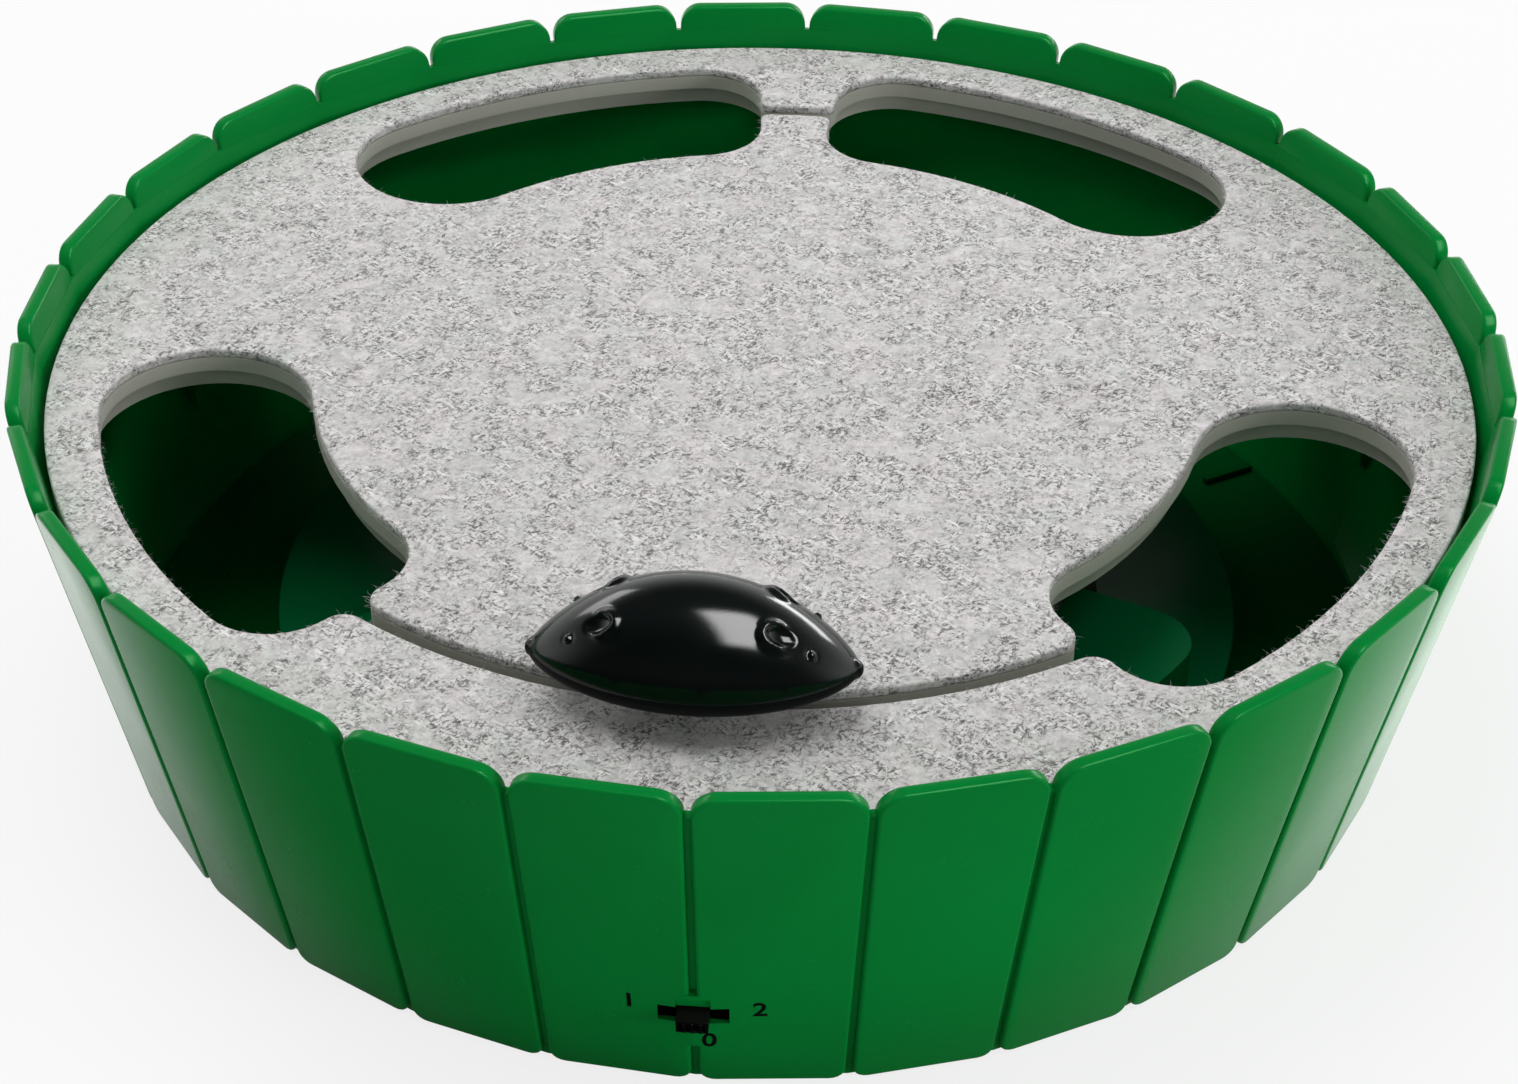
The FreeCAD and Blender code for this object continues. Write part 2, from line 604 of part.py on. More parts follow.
def prism(outline, height, lift):
    # Upright solid over a closed outline of lines and arcs
    sketch = doc.addObject("Sketcher::SketchObject", "outline")
    for edge in outline:
        sketch.addGeometry(edge)
    place(sketch, z=lift)
    solid = doc.addObject("Part::Extrusion", "prism")
    solid.Base = sketch
    solid.Dir = FreeCAD.Vector(0, 0, 1)
    solid.DirMode = "Custom"
    solid.Solid = True
    bind(solid, LengthFwd=height)
    return solid


def cornerArc(start, end, centre, radius):
    # Arc between two points of a circle, the short way
    middle = (start - centre) + (end - centre)
    return Part.Arc(start, centre + middle * (radius / middle.Length), end)


def pawOpening(far, near):
    # Kidney shaped hole along the ring: a round far end and two round corners at the near end
    circle = number("trackCircle")
    half = number("pawHalfWidth")
    corner = number("pawCorner")
    inner = circle - half
    outer = circle + half
    farAngle = math.radians(number(far))
    nearAngle = math.radians(number(near))
    side = 1 if farAngle > nearAngle else -1
    innerTurn = nearAngle + side * math.asin(corner / (inner + corner))
    outerTurn = nearAngle + side * math.asin(corner / (outer - corner))
    innerCentre = polarPoint(inner + corner, innerTurn)
    outerCentre = polarPoint(outer - corner, outerTurn)
    innerEnd = polarPoint(innerCentre.Length * math.cos(innerTurn - nearAngle), nearAngle)
    outerEnd = polarPoint(outerCentre.Length * math.cos(outerTurn - nearAngle), nearAngle)
    capTop = polarPoint(circle, farAngle) + polarPoint(side * half, farAngle + math.pi / 2)
    outline = [
        Part.Arc(polarPoint(outer, outerTurn), polarPoint(outer, (outerTurn + farAngle) / 2),
                 polarPoint(outer, farAngle)),
        Part.Arc(polarPoint(outer, farAngle), capTop, polarPoint(inner, farAngle)),
        Part.Arc(polarPoint(inner, farAngle), polarPoint(inner, (innerTurn + farAngle) / 2),
                 polarPoint(inner, innerTurn)),
        cornerArc(polarPoint(inner, innerTurn), innerEnd, innerCentre, corner),
        Part.LineSegment(innerEnd, outerEnd),
        cornerArc(outerEnd, polarPoint(outer, outerTurn), outerCentre, corner),
    ]
    return prism(outline, voidTall, voidFoot)


voidFoot = "(lidUnderside - skirtDrop - 1)"
voidTall = "(lidThick + feltThick + skirtDrop + 2)"


def lidVoid(far, near, mouthRound):
    # Two mirrored paw openings joined by the stretch of ring slot between their near ends
    whole = 180 if number(near) > 0 else -180
    mirrorFar = f"{whole} - ({far})"
    mirrorNear = f"{whole} - ({near})"
    first, last = sorted((near, mirrorNear), key=number)
    slot = ringSector("trackCircle - slotWidth / 2", "trackCircle + slotWidth / 2", voidTall, f"({first}) - 2",
                      f"({last}) + 2", voidFoot)
    void = fuse(slot, pawOpening(far, near), pawOpening(mirrorFar, mirrorNear))
    void.Refine = True
    mouths = [polarPoint(number("trackCircle"), math.radians(number(text))) for text in (near, mirrorNear)]

    def atMouth(edge, middle):
        return upright(edge) and any(
            math.hypot(middle.x - mouth.x, middle.y - mouth.y) < number("slotWidth") for mouth in mouths)

    return rounded(void, mouthRound, atMouth)


def lidVoids():
    return [lidVoid("frontPawFar", "frontPawNear", "frontMouthRound"),
            lidVoid("backPawFar", "backPawNear", "backMouthRound")]


def skirtAround(void):
    # Thin wall that hangs under the lid, set back from the edge of an opening
    face = min((item for item in void.Shape.Faces if abs(item.normalAt(0, 0).z) > 0.9),
               key=lambda item: item.CenterOfMass.z)
    near = face.makeOffset2D(number("skirtSetback"))
    far = face.makeOffset2D(number("skirtSetback + skirtThick"))
    lift = FreeCAD.Vector(0, 0, number(f"lidUnderside - skirtDrop - {voidFoot}"))
    tall = FreeCAD.Vector(0, 0, number("skirtDrop + 0.2"))
    skirt = doc.addObject("Part::Feature", "skirt")
    skirt.Shape = far.extrude(tall).cut(near.extrude(tall)).translated(lift)
    return skirt


def lidPlate(voids):
    doc.recompute()
    disc = cylinder("lidRadius", "lidThick", z="lidUnderside")
    skirts = [skirtAround(void) for void in voids]
    tools = list(voids)
    for angle in lidScrewAngles:
        x, y = around("lidBossCircle", angle)
        tools.append(cylinder("screwRadius + screwPlay", "lidThick + 2", x, y, "lidUnderside - 1"))
        tools.append(cone("screwRadius + screwPlay", "screwHeadRadius + screwPlay", "screwHeadTall", x, y,
                          "lidUnderside + lidThick - screwHeadTall"))
    return cut(fuse(disc, *skirts), *tools)


def feltMat(voids):
    return cut(cylinder("feltRadius", "feltThick", z="lidUnderside + lidThick"), *voids)


def waveSolid(inset, sink):
    # Ring with two raised stretches, each with a ramp before it; inset and sink make the hollow
    inner = f"(waveIn + {inset})"
    outer = f"(waveOut - {inset})"
    foot = floorTop if number(sink) == 0 else f"({floorTop} - 1)"
    low = f"(waveLow - {sink})"
    high = f"(waveHigh - {sink})"
    parts = [ring(inner, outer, f"{low} - {foot}", foot)]
    trim = f"({inset}) / {trackOut} * (180 / pi)"
    for start, end in (("frontTopStart", "frontTopEnd"), ("backTopStart", "backTopEnd")):
        top = ringSector(inner, outer, f"{high} - {foot}", start, f"{end} - {trim}", foot)
        doc.recompute()
        endAngle = math.radians(number(f"{end} - {trim}"))
        rim = FreeCAD.Vector(number(outer) * math.cos(endAngle), number(outer) * math.sin(endAngle), 0)
        parts.append(rounded(top, f"waveCorner - {inset}", lambda edge, middle: upright(edge) and math.hypot(
            middle.x - rim.x, middle.y - rim.y) < 0.5))
        parts.append(waveRamp(inner, outer, foot, low, high, start))
    return fuse(*parts)


def waveRamp(inner, outer, foot, low, high, end):
    # Smooth rise over the ramp's span, one upright section every few degrees
    steps = 8
    sections = []
    for step in range(steps + 1):
        share = step / steps
        angle = math.radians(number(f"{end} - rampSpan * {1 - share}"))
        top = number(low) + (number(high) - number(low)) * (1 - math.cos(math.pi * share)) / 2
        outward = FreeCAD.Vector(math.cos(angle), math.sin(angle), 0)
        corners = [outward * (number(inner) - 1), outward * (number(outer) + 1)]
        bottom = [FreeCAD.Vector(point.x, point.y, number(foot)) for point in corners]
        upper = [FreeCAD.Vector(point.x, point.y, top) for point in reversed(corners)]
        sections.append(Part.makePolygon(bottom + upper + [bottom[0]]))
    ramp = doc.addObject("Part::Feature", "ramp")
    ramp.Shape = Part.makeLoft(sections, True, True)
    return common(ramp, ring(inner, outer, f"{high} - {foot}", foot))


def waveTrack():
    solid = waveSolid("0", "0")
    hollow = waveSolid("waveWall", "waveWall")
    bosses = [cylinder("waveBossRadius", f"waveLow - {floorTop} - 1", *around(trackOut, angle), floorTop)
              for angle in trackScrewAngles]
    bores = [cylinder("screwRadius + screwPlay", "6", *around(trackOut, angle), f"{floorTop} - 1")
             for angle in trackScrewAngles]
    gate = box("leadGate", "waveOut - waveIn + 6", "leadGateTall + 1", "0", f"-{trackOut}", f"{floorTop} - 1")
    tallBosses = [cylinder("waveBossRadius", "waveHigh - waveLow + 0.5", *around(trackOut, angle),
                           "waveLow - 1.2")
                  for angle in trackScrewAngles if angle < 0]
    return cut(fuse(cut(solid, hollow), *bosses, *tallBosses), gate, *bores)


def screw(size, length, x, y, z, down=True, sunk=True):
    # Cross head screw whose head top, or countersunk face, is at the given height
    sign = 1 if down else -1
    radius = f"{size}Radius" if size == "screw" else "smallScrewRadius"
    head = "screwHeadRadius" if size == "screw" else "smallHeadRadius"
    tall = "screwHeadTall" if size == "screw" else "smallHeadTall"
    if sunk:
        low, high = (radius, head) if down else (head, radius)
        top = cone(low, high, tall, x, y, f"({z}) - {tall}" if down else z)
    else:
        top = cylinder(head, tall, x, y, f"({z}) - {tall}" if down else z)
    shank = cylinder(radius, length, x, y, f"({z}) - ({length})" if down else z)
    depth = f"{tall} * 0.6"
    slotFoot = f"({z}) - {depth}" if down else f"({z}) - 1"
    marks = [box(f"{head} * 1.1", "crossWide", f"{depth} + 1", x, y, slotFoot),
             box("crossWide", f"{head} * 1.1", f"{depth} + 1", x, y, slotFoot)]
    return cut(fuse(top, shank), *marks)


def lidScrews():
    top = "lidUnderside + lidThick"
    return group([screw("screw", "9.5", *around("lidBossCircle", angle), top) for angle in lidScrewAngles])


def baseScrews():
    return group([screw("screw", "7", *around("floorScrewCircle", angle), "headSink", down=False)
                  for angle in floorScrewAngles])


def trackScrews():
    return group([screw("screw", "6", *around(trackOut, angle), "flangeThick", down=False)
                  for angle in trackScrewAngles])


def caseScrews():
    return group([screw("screw", "8", x, y, "flangeThick", down=False) for x, y in caseCorners])


def coverScrews():
    return group([screw("screw", "6", x, y, "coverBottom + coverThick") for x, y in caseCorners])


motorScrewPlaces = [(f"{motorAt[0]} + {side} * motorScrewCircle", motorAt[1]) for side in (-1, 1)]


def motorScrews():
    return group([screw("small", "3.4", x, y, "deckBottom + deckThick") for x, y in motorScrewPlaces])


def caseBlock(inset, tall, z):
    # Upright block with the case's rounded outline, set in from the outside
    long = f"{caseRight} - {caseLeft} - 2 * ({inset})"
    wide = f"{caseBack} - {caseFront} - 2 * ({inset})"
    block = box(long, wide, tall, f"({caseRight} + {caseLeft}) / 2", f"({caseBack} + {caseFront}) / 2", z)
    return rounded(block, f"caseCorner - ({inset})", upright)


def gearCase():
    deckTop = "(deckBottom + deckThick)"
    shell = cut(caseBlock("0", f"coverBottom - {floorTop}", floorTop),
                caseBlock("caseWall", f"deckBottom - {floorTop} + 1", f"{floorTop} - 1"),
                caseBlock("caseWall", f"coverBottom - {deckTop} + 1", deckTop))
    solids = [shell]
    tools = [cylinder("bushRadius + 0.02", "deckThick + 2", z="deckBottom - 1")]
    for x, y in caseCorners:
        solids.append(cylinder("caseBossRadius", f"coverBottom - {floorTop}", x, y, floorTop))
        tools.append(cylinder("screwRadius + screwPlay", "8", x, y, f"{floorTop} - 1"))
        tools.append(cylinder("screwRadius + screwPlay", "7", x, y, "coverBottom - 6"))
    solids.append(cylinder("axleRadius + 0.8", "firstLevel - 0.1 - deckBottom - 0.5", *firstAt,
                           "deckBottom + 0.5"))
    solids.append(cylinder("axleRadius + 1", "firstLevel + levelStep - 0.1 - deckBottom - 0.5", *secondAt,
                           "deckBottom + 0.5"))
    for x, y in (firstAt, secondAt):
        tools.append(cylinder("axleRadius + 0.02", "6", x, y, "deckBottom + 0.3"))
    tools.append(cylinder("motorNoseRadius + 0.1", "deckThick + 2", *motorAt, "deckBottom - 1"))
    for x, y in motorScrewPlaces:
        tools.append(cylinder("smallScrewRadius + screwPlay", "deckThick + 2", x, y, "deckBottom - 1"))
        tools.append(cone("smallScrewRadius + screwPlay", "smallHeadRadius + screwPlay", "smallHeadTall", x, y,
                          f"{deckTop} - smallHeadTall"))
    tools.append(box("9", "8", "5.5", motorAt[0], f"{caseFront}", f"{floorTop} - 1"))
    return cut(fuse(*solids), *tools)


def gearCover():
    tools = [cylinder("bushRadius + 0.02", "coverThick + 2", z="coverBottom - 1")]
    for x, y in (firstAt, secondAt):
        tools.append(cylinder("axleRadius + 0.02", "2", x, y, "coverBottom - 1"))
    for x, y in caseCorners:
        tools.append(cylinder("screwRadius + screwPlay", "coverThick + 2", x, y, "coverBottom - 1"))
        tools.append(cone("screwRadius + screwPlay", "screwHeadRadius + screwPlay", "screwHeadTall", x, y,
                          "coverBottom + coverThick - screwHeadTall"))
    return cut(caseBlock("0", "coverThick", "coverBottom"), *tools)


def outputBushes():
    bushes = []
    for bottom, thick in (("deckBottom", "deckThick"), ("coverBottom", "coverThick")):
        sleeve = cylinder("bushRadius", f"{thick} + bushFlangeThick", z=bottom)
        flange = cylinder("bushFlange", "bushFlangeThick", z=f"{bottom} + {thick}")
        bushes.append(cut(fuse(sleeve, flange), cylinder("shaftRadius + axlePlay", "9", z=f"{bottom} - 1")))
    return group(bushes)


def toothHalf(radius, teeth):
    # Half of a tooth's angle at a radius, on an involute of 20 degrees pressure angle
    pitch = number("gearModule") * teeth / 2
    base = pitch * math.cos(math.radians(20))
    slope = math.acos(min(1, base / radius))
    atPitch = math.tan(math.radians(20)) - math.radians(20)
    return math.pi / (2 * teeth) + atPitch - (math.tan(slope) - slope) - number("toothSlack") / 2 / pitch


def gearBlank(teeth, addendum, thick, z, at, phase, bore):
    # Spur gear with involute flanks, turned by its phase about its axis
    module = number("gearModule")
    root = module * (teeth / 2 - number("toothDedendum"))
    tip = module * (teeth / 2 + number(addendum))
    base = module * teeth / 2 * math.cos(math.radians(20))
    start = max(root, base)
    radii = [start + (tip - start) * step / 4 for step in range(5)]
    edges = []
    for tooth in range(teeth):
        middle = 2 * math.pi * tooth / teeth
        rise = [polarPoint(radius, middle - toothHalf(radius, teeth)) for radius in radii]
        fall = [polarPoint(radius, middle + toothHalf(radius, teeth)) for radius in reversed(radii)]
        foot = polarPoint(root, middle - toothHalf(start, teeth))
        lastFoot = polarPoint(root, middle + toothHalf(start, teeth))
        nextFoot = polarPoint(root, middle + 2 * math.pi / teeth - toothHalf(start, teeth))
        valley = polarPoint(root, middle + math.pi / teeth)
        flanks = [Part.BSplineCurve(), Part.BSplineCurve()]
        flanks[0].interpolate(rise)
        flanks[1].interpolate(fall)
        if root < base:
            edges.append(Part.LineSegment(foot, rise[0]).toShape())
        edges.append(flanks[0].toShape())
        edges.append(Part.Arc(rise[-1], polarPoint(tip, middle), fall[0]).toShape())
        edges.append(flanks[1].toShape())
        if root < base:
            edges.append(Part.LineSegment(fall[-1], lastFoot).toShape())
            edges.append(Part.Arc(lastFoot, valley, nextFoot).toShape())
        else:
            edges.append(Part.Arc(fall[-1], polarPoint(start, middle + math.pi / teeth),
                                  polarPoint(start, middle + 2 * math.pi / teeth
                                             - toothHalf(start, teeth))).toShape())
    gear = doc.addObject("Part::Feature", "gear")
    gear.Shape = Part.Face(Part.Wire(edges)).extrude(FreeCAD.Vector(0, 0, number(thick)))
    turn(place(gear, *at, z), (0, 0, 1), f"{phase}")
    return cut(gear, cylinder(bore, f"({thick}) + 2", *at, f"({z}) - 1"))


def meshPhase(phase, teeth, direction, otherTeeth):
    # Phase of a gear whose gap meets the tooth of its neighbour in a direction
    part = (phase - direction) / (360 / teeth)
    return direction + 180 - (part - math.floor(part)) * 360 / otherTeeth + 180 / otherTeeth


wheelTeeth = int(number("wheelTeeth"))
pinionTeeth = int(number("pinionTeeth"))
outputPhase = number("carouselPhase")
secondPhase = meshPhase(outputPhase, wheelTeeth, number("secondGearAngle"), pinionTeeth)
firstPhase = meshPhase(secondPhase, wheelTeeth, number("firstGearAngle"), pinionTeeth)
motorPhase = meshPhase(firstPhase, wheelTeeth, number("motorAngle"), pinionTeeth)


def doubleGear(at, level, phase):
    # Large wheel with a pinion on top
    bore = "axleRadius + axlePlay"
    wheel = gearBlank(wheelTeeth, "wheelAddendum", "wheelThick", level, at, phase, bore)
    pinion = gearBlank(pinionTeeth, "pinionAddendum", "pinionThick", f"{level} + wheelThick", at, phase, bore)
    return fuse(wheel, pinion)


def firstGear():
    return doubleGear(firstAt, "firstLevel", firstPhase)


def secondGear():
    return doubleGear(secondAt, "firstLevel + levelStep", secondPhase)


def outputGear():
    return gearBlank(wheelTeeth, "wheelAddendum", "wheelThick", "firstLevel + levelStep * 2", ("0", "0"),
                     outputPhase, "shaftRadius")


def motorPinion():
    return gearBlank(pinionTeeth, "pinionAddendum", "pinionThick", "firstLevel", motorAt, motorPhase,
                     "axleRadius")


def gearAxle(at):
    return cylinder("axleRadius", "coverBottom + 0.9 - deckBottom - 0.4", *at, "deckBottom + 0.4")


def outputShaft():
    shaft = cylinder("shaftRadius", "hubBossTop - 0.4 - shaftFoot", z="shaftFoot")
    return cut(shaft, cylinder("smallScrewRadius + screwPlay", "8", z="hubBossTop - 7.4"))


def motorCan():
    tube = cylinder("motorRadius", "motorTop - motorFoot - motorCapThick", *motorAt, "motorFoot + motorCapThick")
    rim = number("motorTop") - 0.1
    can = rounded(tube, "1.2", lambda edge, middle: middle.z > rim and not upright(edge))
    nose = cylinder("motorNoseRadius", "motorNoseTall + 1", *motorAt, "motorTop - 1")
    bore = cylinder("axleRadius + axlePlay", "20", *motorAt, "motorFoot")
    taps = [cylinder("smallScrewRadius + screwPlay", "4", x, y, "motorTop - 2.6") for x, y in motorScrewPlaces]
    return cut(fuse(can, nose), bore, *taps)


def motorEndCap():
    cap = cylinder("motorCapRadius", "motorCapThick", *motorAt, "motorFoot")
    tabs = [box("2", "3.8", "0.4", f"{motorAt[0]} + {side} * 2.2", f"{motorAt[1]} - 12.3", "motorFoot + 0.3")
            for side in (-1, 1)]
    bore = cylinder("axleRadius + axlePlay", "motorCapThick + 1", *motorAt, "motorFoot + 0.3")
    return cut(fuse(cap, *tabs), bore)


def motorShaft():
    return cylinder("axleRadius", "firstLevel + pinionThick - 0.1 - motorFoot - 0.4", *motorAt,
                    "motorFoot + 0.4")


# Pieces on the carousel are built outwards along +X and turned to where the mouse stands
def onCarousel(item):
    return turn(group([item]), (0, 0, 1), "carouselPhase - 90")


def crossRod(radius, long, x, z):
    # Cylinder along Y, centred on the carousel's line
    return cylinder(radius, long, x, f"({long}) / 2", z, (1, 0, 0), "90")


def outwardRod(radius, long, x, z):
    # Cylinder along the carousel's line, centred on a place
    return cylinder(radius, long, f"{x} - ({long}) / 2", "0", z, (0, 1, 0), "90")


cheekMiddle = "(armHalfWide + cheekGap + cheekThick / 2)"
cheekOuter = "(armHalfWide + cheekGap + cheekThick)"
rollerHeight = "(waveHigh + rollerRide + rollerRadius)"
lugMiddle = "(rollerWide / 2 + rollerSide + lugThick / 2)"


def carouselHub():
    hubTop = "(hubFoot + hubThick)"
    solids = [
        cylinder("hubRadius", "hubThick", z="hubFoot"),
        cylinder("hubBossRadius", "hubBossTop - hubFoot", z="hubFoot"),
        box("pivotOut + cheekHalf", f"{cheekOuter} * 2", "hubThick", "(pivotOut + cheekHalf) / 2", "0",
            "hubFoot"),
    ]
    for side in (-1, 1):
        middle = f"{side} * {cheekMiddle}"
        solids.append(box("cheekHalf * 2", "cheekThick", "pivotHeight - hubFoot", "pivotOut", middle,
                          "hubFoot"))
        solids.append(cylinder("cheekHalf", "cheekThick", "pivotOut", f"{middle} + cheekThick / 2",
                               "pivotHeight", (1, 0, 0), "90"))
        solids.append(box("hubRadius * 0.6", "cheekThick", "4", "pivotOut - cheekHalf", middle, hubTop))
    tools = [cylinder("shaftRadius + 0.02", "20", z="hubFoot - 1"),
             crossRod("pinRadius + 0.02", f"{cheekOuter} * 2 + 2", "pivotOut", "pivotHeight")]
    return onCarousel(cut(fuse(*solids), *tools))


def hubScrew():
    return screw("small", "7", "0", "0", "hubBossTop + smallHeadTall", sunk=False)


def hingePin():
    return onCarousel(crossRod("pinRadius", f"{cheekOuter} * 2", "pivotOut", "pivotHeight"))


def sideProfile(points, half):
    # Strip of the carousel's long section, given as outward and up, extruded to both sides
    body = newBody("profile")
    sketch = polygonSketch(body, "XZ_Plane", points)
    body.Tip = extrude(body, "Pad", sketch, f"({half}) * 2", symmetric=True)
    return body


postScrewPlaces = ("trackCircle - 2.6", "trackCircle + 2.9")


def swingArm():
    half = "armThick / 2"
    recess = "trackCircle - 4.7"
    strip = sideProfile([
        ("pivotOut", f"pivotHeight - {half}"),
        ("armBendOut + 0.2", f"armEndHeight - {half}"),
        ("armEndOut", f"armEndHeight - {half}"),
        ("armEndOut", f"armEndHeight + {half} - armEndStep"),
        (recess, f"armEndHeight + {half} - armEndStep"),
        (recess, f"armEndHeight + {half}"),
        ("armBendOut - 0.2", f"armEndHeight + {half}"),
        ("pivotOut", f"pivotHeight + {half}"),
    ], "armHalfWide")
    solids = [strip, crossRod("knuckleRadius", "armHalfWide * 2", "pivotOut", "pivotHeight")]
    for side in (-1, 1):
        middle = f"({trackOut} + {side} * {lugMiddle})"
        solids.append(box("lugThick", "lugWide", f"armEndHeight - 2 - {rollerHeight}", middle, "0",
                          rollerHeight))
        solids.append(outwardRod("lugWide / 2", "lugThick", middle, rollerHeight))
    tools = [crossRod("pinRadius + axlePlay", "armHalfWide * 2 + 2", "pivotOut", "pivotHeight"),
             outwardRod("pinRadius + 0.02", "12", trackOut, rollerHeight)]
    under = f"armEndHeight - {half}"
    for x in postScrewPlaces:
        tools.append(cylinder("smallScrewRadius + screwPlay", "6", x, "0", f"{under} - 1"))
        tools.append(cone("smallHeadRadius + screwPlay", "smallScrewRadius + screwPlay", "smallHeadTall",
                          x, "0", under))
    return onCarousel(cut(fuse(*solids), *tools))


def trackRoller():
    return onCarousel(cut(outwardRod("rollerRadius", "rollerWide", trackOut, rollerHeight),
                          outwardRod("pinRadius + axlePlay", "rollerWide + 2", trackOut, rollerHeight)))


def rollerAxle():
    return onCarousel(outwardRod("pinRadius", f"({lugMiddle} + lugThick / 2) * 2", trackOut, rollerHeight))


def postScrews():
    screws = [screw("small", "4.4", x, "0", "armEndHeight - armThick / 2", down=False) for x in postScrewPlaces]
    return onCarousel(group(screws))


def mousePost():
    foot = "(armEndHeight + armThick / 2 - armEndStep)"
    plate = box("armEndOut - trackCircle + 4.3", "armHalfWide * 2 - 0.4", "postFoot",
                "(armEndOut + trackCircle - 4.5) / 2", "0", foot)
    blade = box("postThick", "postWide", f"postTop - {foot}", "trackCircle", "0", foot)
    taps = [cylinder("smallScrewRadius + screwPlay", "2.9", x, "0", f"{foot} - 1") for x in postScrewPlaces]
    pinHole = cylinder("mousePinRadius + 0.02", "6", "trackCircle - 3", "0", "mousePinHeight", (0, 1, 0), "90")
    return onCarousel(cut(fuse(plate, blade), *taps, pinHole))


def mousePin():
    long = "(postThick / 2 + socketPlay + socketWall)"
    return onCarousel(cylinder("mousePinRadius", f"{long} * 2", f"trackCircle - {long}", "0", "mousePinHeight",
                               (0, 1, 0), "90"))


def mouseGirth(share):
    # Half width, dome height and belly depth at a share of the half length
    left = 1 - share * share
    return (number("mouseWide / 2") * left ** 0.6, number("mouseDome") * left ** 0.85,
            number("mouseBelly") * left ** 0.6)


def halfEllipse(wide, tall, middle):
    # Upright half ellipse across X from its widest line, hanging below for a negative height
    points = []
    for step in range(9):
        turn = step * math.pi / 8
        points.append(middle + FreeCAD.Vector(wide * math.cos(turn), 0, tall * math.sin(turn)))
    curve = Part.BSplineCurve()
    curve.interpolate(points, InitialTangent=FreeCAD.Vector(0, 0, tall),
                      FinalTangent=FreeCAD.Vector(0, 0, -tall))
    return curve.toShape()


def mouseLoft(wall):
    # Almond body along Y, a high dome over a flat belly, thinner by a wall
    halfLong = number("mouseLong / 2 - noseInset") - wall
    sections = []
    for share in (-0.992, -0.95, -0.85, -0.68, -0.46, -0.2, 0, 0.2, 0.46, 0.68, 0.85, 0.95, 0.992):
        wide, dome, belly = (max(size - wall, 0.12) for size in mouseGirth(share))
        middle = FreeCAD.Vector(number("trackCircle"), share * halfLong, number("mouseMiddle"))
        sections.append(Part.Wire([halfEllipse(wide, dome, middle), halfEllipse(wide, -belly, middle)]))
    shape = doc.addObject("Part::Feature", "almond")
    shape.Shape = Part.makeLoft(sections, True, False)
    return shape


def mouseTop(across, along):
    # Height of the mouse's back and its outward normal at a place
    halfLong = number("mouseLong / 2 - noseInset")

    def height(x, y):
        wide, dome, belly = mouseGirth(y / halfLong)
        return number("mouseMiddle") + dome * math.sqrt(1 - (x / wide) ** 2)

    step = 0.05
    up = FreeCAD.Vector(height(across - step, along) - height(across + step, along),
                        height(across, along - step) - height(across, along + step), 2 * step)
    return height(across, along), up.normalize()


def mouseDetails():
    # Ears as rings half sunk in the back, eyes as beads in sockets, a nose at each tip
    bumps = []
    sockets = []
    for end in (-1, 1):
        nose = doc.addObject("Part::Sphere", "nose")
        bind(nose, Radius="noseRadius")
        place(nose, "trackCircle", f"{end} * (mouseLong / 2 - noseRadius)", "mouseMiddle")
        bumps.append(nose)
        for side in (-1, 1):
            across = side * number("earAside")
            along = end * number("earAlong")
            top, up = mouseTop(across, along)
            ear = doc.addObject("Part::Torus", "ear")
            bind(ear, Radius1="earRadius - 0.7", Radius2="earStand")
            ear.Placement = FreeCAD.Placement(
                FreeCAD.Vector(number("trackCircle") + across, along, top) - up * 0.15,
                FreeCAD.Rotation(FreeCAD.Vector(0, 0, 1), up))
            bumps.append(ear)
            scoop = doc.addObject("Part::Sphere", "scoop")
            bind(scoop, Radius="scoopRadius")
            tipward = FreeCAD.Vector(0, end, 0)
            tipward = (tipward - up * tipward.dot(up)).normalize()
            scoop.Placement.Base = (FreeCAD.Vector(number("trackCircle") + across, along, top)
                                    + up * number("scoopLift") + tipward * number("scoopAhead"))
            sockets.append(scoop)
            across = side * number("eyeAside")
            along = end * number("eyeAlong")
            top, up = mouseTop(across, along)
            for item, radius, lift in ((sockets, 1.5, 0.8), (bumps, 0.9, -0.55)):
                ball = doc.addObject("Part::Sphere", "eye")
                ball.Radius = radius
                ball.Placement.Base = FreeCAD.Vector(number("trackCircle") + across, along, top) + up * lift
                item.append(ball)
    return bumps, sockets


def mouseWhole():
    bumps, sockets = mouseDetails()
    eyes = [bump for bump in bumps if bump.Name.startswith("eye")]
    others = [bump for bump in bumps if bump not in eyes]
    return fuse(cut(fuse(mouseLoft(0), *others), *sockets), *eyes)


def slab(low, high):
    return box("40", "60", f"({high}) - ({low})", "trackCircle", "0", low)


mouseScrewPlaces = [("trackCircle", f"{end} * mouseScrewAlong") for end in (-1, 1)]
mouseHeadTop = "(mouseMiddle - mouseBelly + 3)"


def mouseShell(whole, hollow, low, high, inside, tools):
    half = common(whole, slab(low, high))
    shell = cut(half, hollow)
    kept = common(fuse(*inside), common(mouseLoft(number("bossInset")), slab(low, high)))
    return onCarousel(cut(fuse(shell, kept), *tools))


